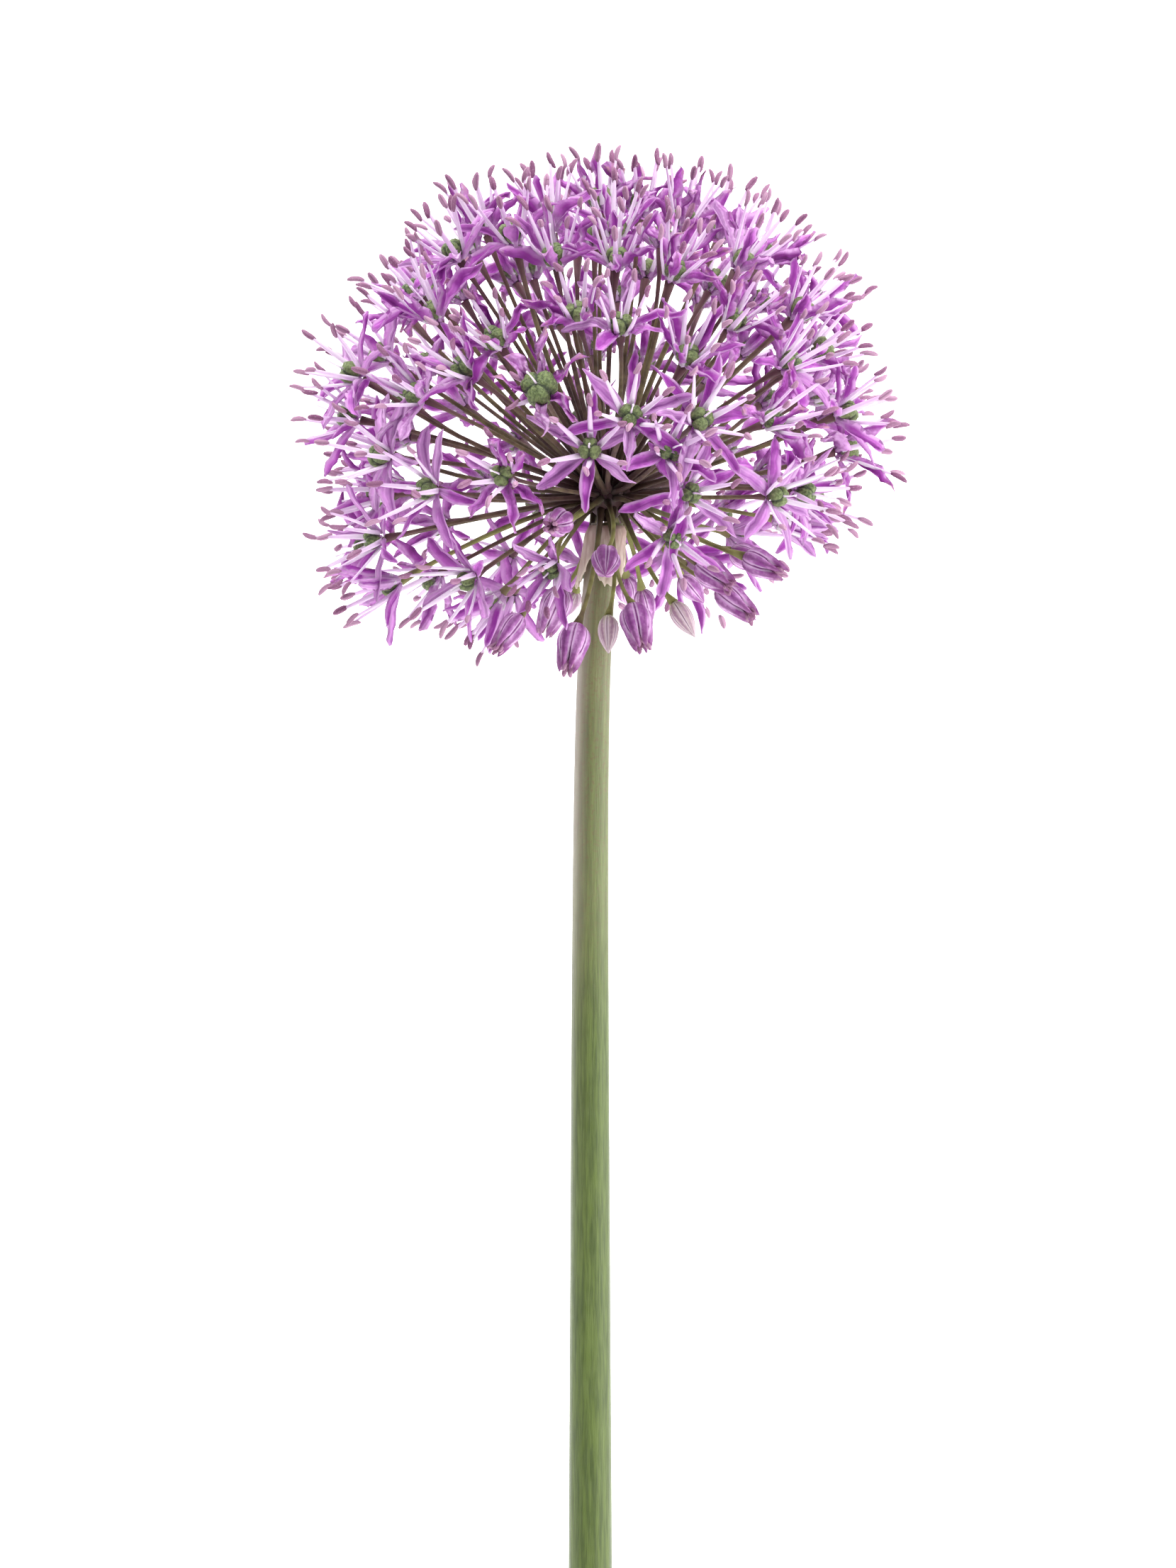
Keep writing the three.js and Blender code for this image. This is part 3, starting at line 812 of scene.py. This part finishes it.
def tepal_finish():
    """Clouded purple flesh, with pale rims that are partly painted highlight, a dark rib and fine veins;
    spent ones darken and dry
    """
    material, tree = new_finish("tepals")
    u, v, inside = mark(tree, "along"), mark(tree, "across"), mark(tree, "inside")
    tone, faded = mark(tree, "tone"), mark(tree, "faded")
    grain = noise(tree, 0.7, 4.0)
    cloud = noise(tree, 3.5, 3.0)
    rim = (v.size() + 0.3 * (grain - 0.5)).ramp(0.52, 0.95)
    middle = 1.0 - (v.size() + 0.2 * (grain - 0.5)).ramp(0.0, 0.5)
    rib = middle * u.ramp(0.08, 0.35) * (0.8 - 0.15 * inside)
    veins = ((v * 17.0 + grain * 2.0).sine() * 0.5 + 0.5) * 0.35
    foot = 1.0 - (u + 0.2 * (grain - 0.5)).ramp(0.02, 0.38)
    spent = faded * (0.15 + 0.85 * grain.ramp(0.42, 0.62))
    dry = faded.ramp(0.5, 1.0) * u.ramp(0.75, 0.95) * grain.ramp(0.4, 0.6)
    colour = glaze(
        tree,
        blend(tree, cloud.ramp(0.4, 0.62), *TEPAL_FLESH),
        (tone.ramp(0.48, 0.8) * 0.85, TEPAL_LIGHT),
        ((1.0 - tone.ramp(0.15, 0.48)) * 0.85, TEPAL_DEEP),
        # Pale rims: partly the tepal's own margin, partly painted highlight
        (rim * 0.85, TEPAL_MARGIN_AND_PAINTED_HIGHLIGHT),
        (rib, TEPAL_RIB),
        (veins, TEPAL_VEIN),
        (foot * 0.7, TEPAL_PALE_FOOT),
        (u.ramp(0.9, 1.0) * 0.5, TEPAL_TIP),
        (spent * 0.6, TEPAL_SPENT),
        (dry * 0.7, TEPAL_DRY),
    )
    coat(tree, {"Base Color": colour, "Roughness": 0.42 + 0.25 * grain, "Specular IOR Level": 0.22})
    raise_grain(tree, 0.35, 0.2, veins * 3.0 + grain * 0.6)
    let_light_through(tree, 0.3 + 0.2 * rim - 0.2 * rib, TEPAL_GLOW)
    return material


def seat(f):
    """Where a floret stands and how it is turned"""
    return {"base": f.base, "axis": f.axis, "side": f.side}


rows = []
draw = drawer(TEPAL_SEED)
for f in open_florets:
    shade = next(draw)
    weary = smoothstep(0.2, 0.8, next(draw)) * smoothstep(0.35, 0.7, f.age)
    weary = max(weary, 0.5 * smoothstep(0.6, 0.82, f.age))
    if f.fixed and f.age < STAR_AGE:
        weary = STAR_WEARINESS
        shade = mix(0.4, 1.0, shade)
    elif f.age >= SPENT_AGE:
        weary = 1.0
    for p in f.parts:
        bend = p.bending - p.rising
        limp = 2.4 * weary * off(draw) + 0.6 * off(draw)
        stray = (0.2 + 0.5 * weary) * off(draw)
        first = p.rising - TEPAL_BEND_AT * bend + 0.3 * limp + 0.35 * off(draw)
        note(
            rows,
            **seat(f),
            radial=outward(f, p.turn + stray),
            first=first - 0.3 * weary * smoothstep(0.4, 1.0, first),
            change=2 * bend + 0.03 + limp,
            length=p.length + TEPAL_BELOW,
            twist=off(draw) * (2.0 + 4.0 * weary),
            broad=f.size * (0.78 + 0.34 * next(draw)) * (1 - 0.32 * weary),
            channel=0.4 + 0.8 * next(draw) + 0.6 * weary,
            crumple=1.0 + 2.8 * weary,
            tone=0.5 * shade + 0.5 * next(draw),
            faded=weary,
        )
sizes = {
    "Width": TEPAL_WIDTH,
    "Thickness": TEPAL_THICKNESS,
    "Crumple": TEPAL_CRUMPLE,
    "Foot": TEPAL_FOOT,
    "Sill": TEPAL_SILL,
}
body = rod(TEPAL_SIDES, TEPAL_STEPS)
tepals = grow("tepals", rows, body, sizes, tepal_shape, tepal_finish())
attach(tepals, "root")
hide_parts("umbel")


# Filaments
# The stamens' stalks, white to lilac, broad and flat at the foot and thread-thin above.
# Each stands before a tepal and grows from its foot.

STAMEN_SEED = 53
FILAMENT_SIDES = 5
FILAMENT_STEPS = 5
FILAMENT_WIDE = [(0, 1), (0.25, 0.95), (0.55, 0.84), (0.85, 0.62), (1, 0.4)]
FILAMENT_THIN = [(0, 1), (0.4, 0.85), (1, 0.55)]
FILAMENT_OUT = 1.45
FILAMENT_UP = 0.1
ANTHER_LENGTH = 2.8
ANTHER_HOLD = 0.15

FILAMENT_WHITE = (0.93, 0.84, 0.94)
FILAMENT_LILAC = (0.80, 0.56, 0.82)
FILAMENT_BRIGHT = (0.98, 0.95, 0.99)
FILAMENT_GLOW = (0.97, 0.80, 1.0)


def filament_shape(s):
    u = s.part("Z") + 0.5
    axis, radial, aim = s.arrow("axis"), s.arrow("radial"), s.arrow("aim")
    across = axis.cross(radial)
    wide = s.curve(FILAMENT_WIDE, u) * 0.5
    thin = s.curve(FILAMENT_THIN, u) * 0.34
    bow = (u * math.pi).sine() * s.number("bow")
    foot = s.arrow("base") + radial * FILAMENT_OUT + axis * FILAMENT_UP
    place = foot + aim * (u * s.number("length")) + radial * bow
    place = place + across * (s.part("X") * wide) + radial * (s.part("Y") * thin)
    return place, {"along": u}


def filament_finish():
    material, tree = new_finish("filaments")
    lilac, bright = mark(tree, "along").ramp(0.2, 1.0), mark(tree, "tone") * 0.9
    colour = glaze(tree, FILAMENT_WHITE, (lilac, FILAMENT_LILAC), (bright, FILAMENT_BRIGHT))
    coat(tree, {"Base Color": colour, "Roughness": 0.45})
    let_light_through(tree, 0.3, FILAMENT_GLOW)
    return material


rows = []
anther_rows = []
draw = drawer(STAMEN_SEED)
for f in open_florets:
    shade = next(draw)
    spent = f.age >= SPENT_AGE
    for p in f.parts:
        out = outward(f, p.turn)
        lean = 1.7 * p.rising if spent else p.lean
        aim = f.axis * math.cos(lean) + out * math.sin(lean)
        length = (0.5 if spent else 1.0) * p.reach - 0.5 * ANTHER_LENGTH
        note(
            rows,
            **seat(f),
            radial=out,
            aim=aim,
            length=length,
            bow=0.5 * (next(draw) - 0.3),
            tone=shade * (1 - 0.5 * smoothstep(0.5, 0.9, f.age)),
        )
        foot = f.base + out * FILAMENT_OUT + f.axis * FILAMENT_UP
        long_way = unit(aim + 0.7 * jolt(draw))
        note(
            anther_rows,
            base=foot + aim * (length + ANTHER_HOLD),
            aim=long_way,
            side=unit(np.cross(long_way, out + 0.3 * f.axis)),
            tone=next(draw),
            length=ANTHER_LENGTH * (0.85 + 0.25 * next(draw)),
        )
filament_material = filament_finish()
body = rod(FILAMENT_SIDES, FILAMENT_STEPS)
filaments = grow("filaments", rows, body, {}, filament_shape, filament_material)


# Anthers
# The pollen sacks at the filaments' tips: small dusty mauve oblongs, each with a line of painted shade for a
# groove along its middle, and hinged there to its filament, so that they point every way.

ANTHER_WIDTH = 1.05
ANTHER_PROFILE = [(0, 0.4), (0.15, 0.85), (0.4, 1), (0.6, 1), (0.85, 0.85), (1, 0.4)]

ANTHER_MAUVE = ((0.24, 0.085, 0.18), (0.47, 0.27, 0.39))
ANTHER_DUST = (0.50, 0.34, 0.44)
# Painted shade for the groove along an anther's middle
ANTHER_GROOVE_PAINTED_SHADE = (0.15, 0.035, 0.11)


def anther_shape(s):
    u = s.part("Z") + 0.5
    half = s.curve(ANTHER_PROFILE, u) * s.size("Width") * 0.5
    aim, side = s.arrow("aim"), s.arrow("side")
    bend = -(u - 0.5) * (u - 0.5)
    place = s.arrow("base") + aim * ((u - 0.5) * s.number("length")) + side * (s.part("X") * half)
    place = place + aim.cross(side) * (s.part("Y") * half * 0.75 + bend)
    return place, {"along": u, "across": s.part("X")}


def anther_finish():
    material, tree = new_finish("anthers")
    dust = noise(tree, 0.25, 3.0)
    # Painted shade: a dark line down the middle stands for the shadow in a groove
    groove_shade = 1.0 - mark(tree, "across").size().ramp(0.0, 0.35)
    mauve = blend(tree, mark(tree, "tone"), *ANTHER_MAUVE)
    dusty = dust.ramp(0.5, 0.75) * 0.5
    colour = glaze(tree, mauve, (dusty, ANTHER_DUST), (groove_shade * 0.5, ANTHER_GROOVE_PAINTED_SHADE))
    coat(tree, {"Base Color": colour, "Roughness": 0.75})
    raise_grain(tree, 0.5, 0.1, dust)
    return material


anther_making = (rod(6, 5), {"Width": ANTHER_WIDTH}, anther_shape, anther_finish())
anthers = grow("anthers", anther_rows, *anther_making)


# Ovaries and styles
# The green seed vessel in the middle of each floret: three lobes, each with a furrow, with painted shade in
# the dips, and grainy skin.
# A thin pale style stands in its top, and is short in young florets.

OVARY_SEED = 67
OVARY_RADIUS = 1.78
OVARY_HEIGHT = 3.5
OVARY_SEAT = 0.42
OLD_SWELL = 1.4
STYLE_PROFILE = [(0, 0.2), (0.5, 0.14), (0.9, 0.13), (1, 0.2)]
STYLE_FOOT = 2.6
STYLE_YOUNG = 1.5
STYLE_OLD = 4.6

OVARY_GREEN = ((0.042, 0.070, 0.018), (0.165, 0.22, 0.075))
OVARY_LIGHT = (0.22, 0.27, 0.10)
# Painted shade in the furrows and between the lobes
OVARY_FURROW_PAINTED_SHADE = (0.018, 0.03, 0.012)
OVARY_FOOT = (0.32, 0.24, 0.32)


def ovary_shape(s):
    z, turn = s.part("Z"), s.turn()
    lobes = 0.86 + 0.3 * (turn * 1.5).sine().size() - 0.14 * (1.0 - (turn * 3.0).sine().size())
    swell = s.number("swell")
    r = s.size("Radius") * lobes * swell
    dent = 1.0 - 0.25 * z.ramp(0.75, 1.0)
    up = (z * dent * 0.5 * (0.4 + 0.6 * lobes) + OVARY_SEAT) * s.size("Height") * swell
    place = s.ring(s.arrow("base"), r) + s.arrow("axis") * up
    return place, {"lobe": (lobes - 0.72) * 3.0, "along": z * 0.5 + 0.5}


def style_shape(s):
    u = s.part("Z") + 0.5
    up = STYLE_FOOT * s.number("swell") + u * s.number("length")
    bow = s.arrow("side") * (u * u * s.number("bow"))
    middle = s.arrow("base") + s.arrow("axis") * up + bow
    return s.ring(middle, s.curve(STYLE_PROFILE, u)), {"along": u * 0.3}


def ovary_finish():
    material, tree = new_finish("ovaries")
    lobe, u, tone = mark(tree, "lobe"), mark(tree, "along"), mark(tree, "tone")
    grain = noise(tree, 0.45, 3.0)
    colour = glaze(
        tree,
        blend(tree, grain.ramp(0.35, 0.65), *OVARY_GREEN),
        (tone * 0.45, OVARY_LIGHT),
        # Painted shade: darker where the lobed surface dips
        ((1.0 - lobe.ramp(0.1, 0.8)) * 0.85, OVARY_FURROW_PAINTED_SHADE),
        ((1.0 - u.ramp(0.05, 0.3)) * 0.5, OVARY_FOOT),
    )
    coat(tree, {"Base Color": colour, "Roughness": 0.55})
    raise_grain(tree, 1.0, 0.4, grain)
    return material


rows = []
style_rows = []
draw = drawer(OVARY_SEED)
for f in open_florets:
    swell = mix(0.85, 1.05, f.open) * (0.92 + 0.16 * next(draw))
    swell *= OLD_SWELL if f.age >= SPENT_AGE else 1
    note(rows, **seat(f), swell=swell, tone=next(draw))
    note(
        style_rows,
        **seat(f),
        swell=swell,
        tone=next(draw),
        length=mix(STYLE_YOUNG, STYLE_OLD, f.open),
        bow=0.8 * off(draw),
    )
sizes = {"Radius": OVARY_RADIUS, "Height": OVARY_HEIGHT}
ovaries = grow("ovaries", rows, ball(24, 8), sizes, ovary_shape, ovary_finish())
styles = grow("styles", style_rows, rod(5, 4), {}, style_shape, filament_material)
for piece in (filaments, anthers, ovaries, styles):
    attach(piece, "root")
    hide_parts("umbel")


# Buds
# The youngest florets, under the head: closed spindles of six pale tepals with purple stripes, and some
# plumper purple ones whose tips have begun to part.

BUD_SEED = 71
BUD_WIDTH = 2.55
BUD_PROFILE = [(0, 0.2), (0.05, 0.46), (0.18, 0.88), (0.36, 1), (0.58, 0.88), (0.8, 0.52)]
BUD_PROFILE += [(0.94, 0.2), (1, 0.05)]
HIDDEN_ANTHER_SHARE = 0.8

BUD_PALE = ((0.40, 0.43, 0.24), (0.60, 0.50, 0.49))
BUD_PALE_STRIPE = (0.30, 0.15, 0.25)
BUD_RIPE = ((0.27, 0.06, 0.28), (0.64, 0.33, 0.65))
BUD_RIPE_STRIPE = (0.16, 0.022, 0.16)
BUD_TIP = (0.20, 0.03, 0.15)
BUD_RIM = (0.84, 0.72, 0.86)
# Painted shade in the seams between the tepals and inside an opening bud's mouth
BUD_SEAM_PAINTED_SHADE = (0.16, 0.04, 0.15)


def bud_shape(s):
    """A spindle of six folded tepals; in an opening one their tips stand apart round a mouth"""
    x, y, u = s.part("X"), s.part("Y"), s.part("Z") + 0.5
    fold = (s.turn() * 3.0).sine().size()
    mouth = s.number("mouth")
    r = s.curve(BUD_PROFILE, u) + mouth * 0.36 * u.ramp(0.55, 1.0)
    r = r * s.size("Width") * s.number("plump") * (0.84 + 0.16 * fold)
    notch = mouth * u.ramp(0.55, 1.0) * (fold - 0.8) * 3.4
    middle = s.arrow("base") + s.arrow("axis") * (u * s.number("length") + notch)
    within = 1.0 - (x * x + y * y).at_most(1.0)
    # inside marks the cap of an opening bud's mouth, which is painted as shade
    marks = {"along": u, "across": fold, "inside": within * u.ramp(0.9, 1.0)}
    return s.ring(middle, r), marks


def bud_finish():
    """Greenish and pale when young, purple when ripe, with a dark stripe and pale rims to each tepal, and
    painted shade along the seams and inside an opening mouth
    """
    material, tree = new_finish("buds")
    u, fold, tone = mark(tree, "along"), mark(tree, "across"), mark(tree, "tone")
    grain = noise(tree, 0.6, 3.0)
    cloud = noise(tree, 2.5, 3.0)
    stripe = (fold + 0.5 * (grain - 0.5) + 0.6 * (cloud - 0.5)).ramp(0.66, 1.0)
    rim = fold.ramp(0.12, 0.3) * (1.0 - fold.ramp(0.3, 0.6))
    seam = 1.0 - fold.ramp(0.0, 0.16)
    inside = mark(tree, "inside").ramp(0.0, 0.3)
    pale = blend(tree, u.ramp(0.0, 0.4), *BUD_PALE)
    pale = blend(tree, stripe * 0.7, pale, BUD_PALE_STRIPE)
    ripe = blend(tree, cloud.ramp(0.35, 0.65), *BUD_RIPE)
    ripe = glaze(tree, ripe, (stripe * 0.75, BUD_RIPE_STRIPE), (u.ramp(0.55, 0.95) * 0.4, BUD_TIP))
    # Painted shade along the seams between the tepals and inside the mouth
    bud_painted_shade = (seam * 0.8).at_least(inside)
    colour = glaze(tree, pale, (tone, ripe), (rim * 0.5, BUD_RIM), (bud_painted_shade, BUD_SEAM_PAINTED_SHADE))
    coat(tree, {"Base Color": colour, "Roughness": 0.5})
    raise_grain(tree, 0.6, 0.3, grain * 0.5 - seam)
    return material


rows = []
hidden_rows = []
draw = drawer(BUD_SEED)
for f in buds + opening:
    ajar = 1.0 if f.age >= BUD_AGE else 0.0
    plump = f.grown * (0.85 + 0.2 * next(draw))
    ripe_from = 0.04 if f.fixed else -0.12
    ripe = smoothstep(ripe_from, ripe_from + 0.05, f.age + 0.05 * off(draw))
    note(
        rows,
        **seat(f),
        length=(BUD_LENGTH - 0.4 * ajar) * f.grown,
        plump=plump * mix(0.8, 1.0, ripe),
        mouth=ajar,
        tone=ripe,
    )
    for k in SIX if ajar else ():
        out = outward(f, math.radians(60 * k + 30))
        rise = (6.8 + 1.2 * next(draw)) * f.grown
        note(
            hidden_rows,
            base=f.base + f.axis * rise + out * 0.8,
            aim=unit(f.axis + 0.3 * out),
            side=f.side,
            tone=next(draw),
            length=ANTHER_LENGTH * HIDDEN_ANTHER_SHARE,
        )
body = rod(24, 12, "TRIANGLE_FAN")
closed_buds = grow("buds", rows, body, {"Width": BUD_WIDTH}, bud_shape, bud_finish())
inner_anthers = grow("opening_anthers", hidden_rows, *anther_making)
for piece in (closed_buds, inner_anthers):
    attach(piece, "root")
    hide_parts("umbel")


# Scape
# The bare flower stalk: a juicy, slightly tapering green stem under a waxy bloom, flushed brown-purple
# near the head and finely ribbed along its length. It ends in a plain cut.

SCAPE_SIDES = 40
SCAPE_STEPS = 90
SCAPE_TOP = -4.3
SCAPE_SWAY = -2.8
SWAY_START = 4.0
SWAY_LENGTH = 16.0
RIB_SHARE = 0.6

SCAPE_GREEN = ((0.045, 0.072, 0.010), (0.098, 0.142, 0.024))
SCAPE_BROWN = ((0.095, 0.075, 0.045), (0.155, 0.125, 0.072))
SCAPE_LINE = (0.18, 0.23, 0.07)
SCAPE_BLOOM = (0.18, 0.22, 0.10)
SCAPE_WAX = (0.46, 0.44, 0.24)
SCAPE_SPECK = (0.17, 0.105, 0.06)
# Painted highlight on the stem's left side near the head
SCAPE_PAINTED_HIGHLIGHT = (0.60, 0.50, 0.48)


def scape_shape(s):
    """A slightly tapering stem, ribbed, and bent a little aside under the head"""
    u = s.part("Z") + 0.5
    height = -s.size("Length") + u * (s.size("Length") + SCAPE_TOP)
    radius = SCAPE_TOP_RADIUS + (CUT_RADIUS - SCAPE_TOP_RADIUS) * (-height / SCAPE_LENGTH)
    turn = s.turn()
    ribs = 0.05 * (turn * 9.0 + height * 0.02).sine() + 0.03 * (turn * 14.0 + 1.0).sine()
    radius = radius + ribs * RIB_SHARE
    below = (-height - SWAY_START).at_least(0.0)
    sway = SCAPE_SWAY * (1.0 - (below / -SWAY_LENGTH).exponential())
    place = vector_of(s.tree, s.part("X") * radius + sway, height, s.part("Y") * radius)
    return place, {"below": height / -SCAPE_LENGTH, "round": turn}


def scape_finish():
    """Streaked green; brown and specked near the head, browned on the left side by painted shade, and paler
    there near the head by a painted highlight
    """
    material, tree = new_finish("scape")
    below, turn = mark(tree, "below"), mark(tree, "round")
    broad = vector_of(tree, turn.cosine() * 3.0, turn.sine() * 3.0, below * 12.0)
    fine = vector_of(tree, turn.cosine() * 9.0, turn.sine() * 9.0, below * 20.0)
    streaks = noise_at(tree, broad, 2.2, 6.0)
    lines = noise_at(tree, fine, 2.5, 4.0)
    bloom = noise(tree, 2.2, 5.0)
    left = -turn.cosine()
    near_head = 1.0 - below.ramp(0.2, 0.5)
    flush = (1.0 - below.ramp(0.03, 0.30)) * (0.55 + 0.6 * (streaks - 0.5))
    # Painted shade: the stem's left side takes the brown because of how light falls on it
    left_painted_shade = left.ramp(-0.5, 1.0) * (1.0 - below.ramp(0.0, 0.75)) * 0.7
    wax = (1.0 - below.ramp(0.33, 0.48)) * 0.15
    speck = noise(tree, 0.5, 4.0).ramp(0.5, 0.66) * near_head
    # Painted highlight: the left side near the head is made paler, for the light reflected there
    left_painted_highlight = left.ramp(0.1, 1.0) * near_head * 0.35
    brown = blend(tree, streaks.ramp(0.3, 0.7), *SCAPE_BROWN)
    colour = glaze(
        tree,
        blend(tree, streaks.ramp(0.3, 0.7), *SCAPE_GREEN),
        (flush.at_least(left_painted_shade).at_most(1.0), brown),
        (lines.ramp(0.45, 0.8) * 0.35, SCAPE_LINE),
        (bloom * 0.15, SCAPE_BLOOM),
        (wax, SCAPE_WAX),
        (speck * 0.5, SCAPE_SPECK),
        (left_painted_highlight, SCAPE_PAINTED_HIGHLIGHT),
    )
    coat(tree, {"Base Color": colour, "Roughness": 0.40 + 0.25 * bloom})
    coat(tree, {"Sheen Weight": 0.18, "Sheen Roughness": 0.35})
    raise_grain(tree, 0.25, 0.3, lines + 0.5 * streaks)
    return material


body, lone = rod(SCAPE_SIDES, SCAPE_STEPS), [SimpleNamespace()]
scape = grow("scape_stalk", lone, body, {"Length": SCAPE_LENGTH}, scape_shape, scape_finish())
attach(scape, "root")
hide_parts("scape")


# Spathe
# The papery bract that wrapped the young head. It split when the head opened, dried to a pale
# brown-pink, and hangs as a torn collar round the scape's top, where it grew.

SPATHE_SEED = 83
SPATHE_AROUND = 72
SPATHE_ROWS = 14
SPATHE_TOP = SCAPE_TOP - 0.5
SPATHE_SHORT = 5.5
SPATHE_LONG = 10.0
SPATHE_TEAR = 0.9
SPATHE_STAND = 0.45
SPATHE_FLARE = 0.5
SPATHE_WALL = 0.3

SPATHE_PAPER = ((0.46, 0.33, 0.26), (0.82, 0.71, 0.62))
SPATHE_PATCH = (0.50, 0.33, 0.31)
SPATHE_HEM = (0.86, 0.78, 0.66)
SPATHE_GLOW = (0.75, 0.6, 0.48)

ACROSS = np.array([1.0, 0.0, 0.0])
UP = np.array([0.0, math.cos(LAY), math.sin(LAY)])
TOWARDS = np.array([0.0, -math.sin(LAY), math.cos(LAY)])


def lay_down(x, y, z):
    """A point of the flower's own axes, where it lies, in metres"""
    return np.array(HUB) + MM * (x * ACROSS + y * UP + z * TOWARDS)


def spathe_sheet():
    """The bract's outer face: rows of points down from its root, with a torn hem"""
    draw = drawer(SPATHE_SEED)
    ragged = [next(draw) for _ in range(SPATHE_AROUND)]
    points = []
    for s in range(SPATHE_ROWS + 1):
        share = s / SPATHE_ROWS
        for i in range(SPATHE_AROUND):
            turn = 2 * math.pi * i / SPATHE_AROUND
            lobe = abs(math.sin(1.5 * turn))
            tear = SPATHE_TEAR * (ragged[i] - 0.5) * share**6
            height = SPATHE_TOP - share * mix(SPATHE_SHORT, SPATHE_LONG, lobe) + tear
            radius = mix(SCAPE_TOP_RADIUS, CUT_RADIUS, -height / SCAPE_LENGTH)
            radius += SPATHE_STAND * smoothstep(0.0, 0.15, share)
            crease = 0.10 * math.sin(11 * turn + 3 * share) + 0.07 * math.sin(23 * turn)
            radius += SPATHE_FLARE * share * share + crease * (0.3 + share)
            sway = SCAPE_SWAY * (1 - math.exp(-max(0.0, -height - SWAY_START) / SWAY_LENGTH))
            points.append((sway + radius * math.cos(turn), height, radius * math.sin(turn)))
    faces = []
    for s in range(SPATHE_ROWS):
        for i in range(SPATHE_AROUND):
            j = (i + 1) % SPATHE_AROUND
            a, b = s * SPATHE_AROUND, (s + 1) * SPATHE_AROUND
            faces.append((a + i, a + j, b + j, b + i))
    return points, faces


def spathe_finish():
    """Dry paper with fine lines down it, stained in patches and bleached at the hem"""
    material, tree = new_finish("spathe")
    drawn_out = add(tree, "ShaderNodeTexCoord", output="Object") * vector_of(tree, 900.0, 120.0, 900.0)
    lines = noise_at(tree, drawn_out, 1.6, 4.0)
    patch = noise(tree, 3.0, 3.0)
    colour = glaze(
        tree,
        blend(tree, lines.ramp(0.3, 0.7), *SPATHE_PAPER),
        (patch.ramp(0.4, 0.7) * 0.5, SPATHE_PATCH),
        (mark(tree, "hem").ramp(0.75, 1.0) * 0.7, SPATHE_HEM),
    )
    coat(tree, {"Base Color": colour, "Roughness": 0.8})
    raise_grain(tree, 0.6, 0.2, lines)
    let_light_through(tree, 0.25, SPATHE_GLOW)
    return material


points, faces = spathe_sheet()
sheet = bpy.data.meshes.new("spathe_bract")
sheet.from_pydata([tuple(lay_down(*p)) for p in points], [], faces)
hem = np.repeat(np.linspace(0, 1, SPATHE_ROWS + 1), SPATHE_AROUND)
sheet.attributes.new("hem", "FLOAT", "POINT").data.foreach_set("value", hem.astype(np.float32))
sheet.materials.append(spathe_finish())
sheet.shade_smooth()
spathe = bpy.data.objects.new("spathe_bract", sheet)
bpy.context.scene.collection.objects.link(spathe)
wall = spathe.modifiers.new("wall", "SOLIDIFY")
wall.thickness = SPATHE_WALL * MM
wall.offset = 1.0
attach(spathe, "root")
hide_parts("spathe")


# Floor, light and camera
# A white surface in a room that is bright all round and dimmer overhead, and three soft lights: beyond
# the head, at the right and by the cut. The camera looks square at the sloping scape, as in the photograph.

FLOOR_SIZE = 6.0
FLOOR_DROP = 0.0002
LIT_POINT = (0, 0.05, 0.04)
LAMP_SIZE = 0.6
LAMPS = {
    "key": ((-0.15, 0.95, 0.7), 16.0),
    "fill": ((0.95, 0.1, 0.5), 9.0),
    "front": ((0.2, -0.9, 0.45), 7.0),
}
PHOTO_HEIGHT = 2212
FILM_HEIGHT = 36.0

bpy.ops.mesh.primitive_plane_add(size=FLOOR_SIZE, location=(0, 0, -FLOOR_DROP))
floor = bpy.context.object
floor.name = "floor"
matt_white, tree = new_finish("floor")
coat(tree, {"Base Color": (0.95, 0.95, 0.95), "Roughness": 0.9})
coat(tree, {"Emission Color": (1, 1, 1), "Emission Strength": 0.9})
floor.data.materials.append(matt_white)

room = bpy.data.worlds.new("room")
room.use_nodes = True
walls = room.node_tree
facing = add(walls, "ShaderNodeTexCoord", output="Generated")
rise = add(walls, "ShaderNodeSeparateXYZ", inputs={0: facing}, output="Z")
glow = blend(walls, rise.ramp(0.15, 0.7), (1.0, 1.0, 1.0), (0.3, 0.3, 0.3))
feed(walls, walls.nodes["Background"], {"Color": glow})
bpy.context.scene.world = room

for name, (place, power) in LAMPS.items():
    lamp = bpy.data.lights.new(name, "AREA")
    lamp.shape = "SQUARE"
    lamp.size = LAMP_SIZE
    lamp.energy = power
    holder = bpy.data.objects.new(name, lamp)
    holder.location = place
    aim = np.array(LIT_POINT) - np.array(place)
    flat = math.hypot(aim[0], aim[1])
    holder.rotation_euler = (math.atan2(flat, -aim[2]), 0, math.atan2(aim[1], aim[0]) - math.pi / 2)
    bpy.context.scene.collection.objects.link(holder)

view = bpy.data.cameras.new("camera")
view.sensor_width = FILM_HEIGHT
view.lens = FILM_HEIGHT * VIEWER_DISTANCE / (PHOTO_HEIGHT * MM_PER_PIXEL)
view.clip_start = 0.01
camera = bpy.data.objects.new("camera", view)
camera.location = lay_down(*from_hub(*MIDDLE_PIXEL), VIEWER_DISTANCE)
camera.rotation_euler = (LAY, 0, 0)
bpy.context.scene.collection.objects.link(camera)
bpy.context.scene.camera = camera
bpy.context.scene.view_settings.view_transform = "Standard"
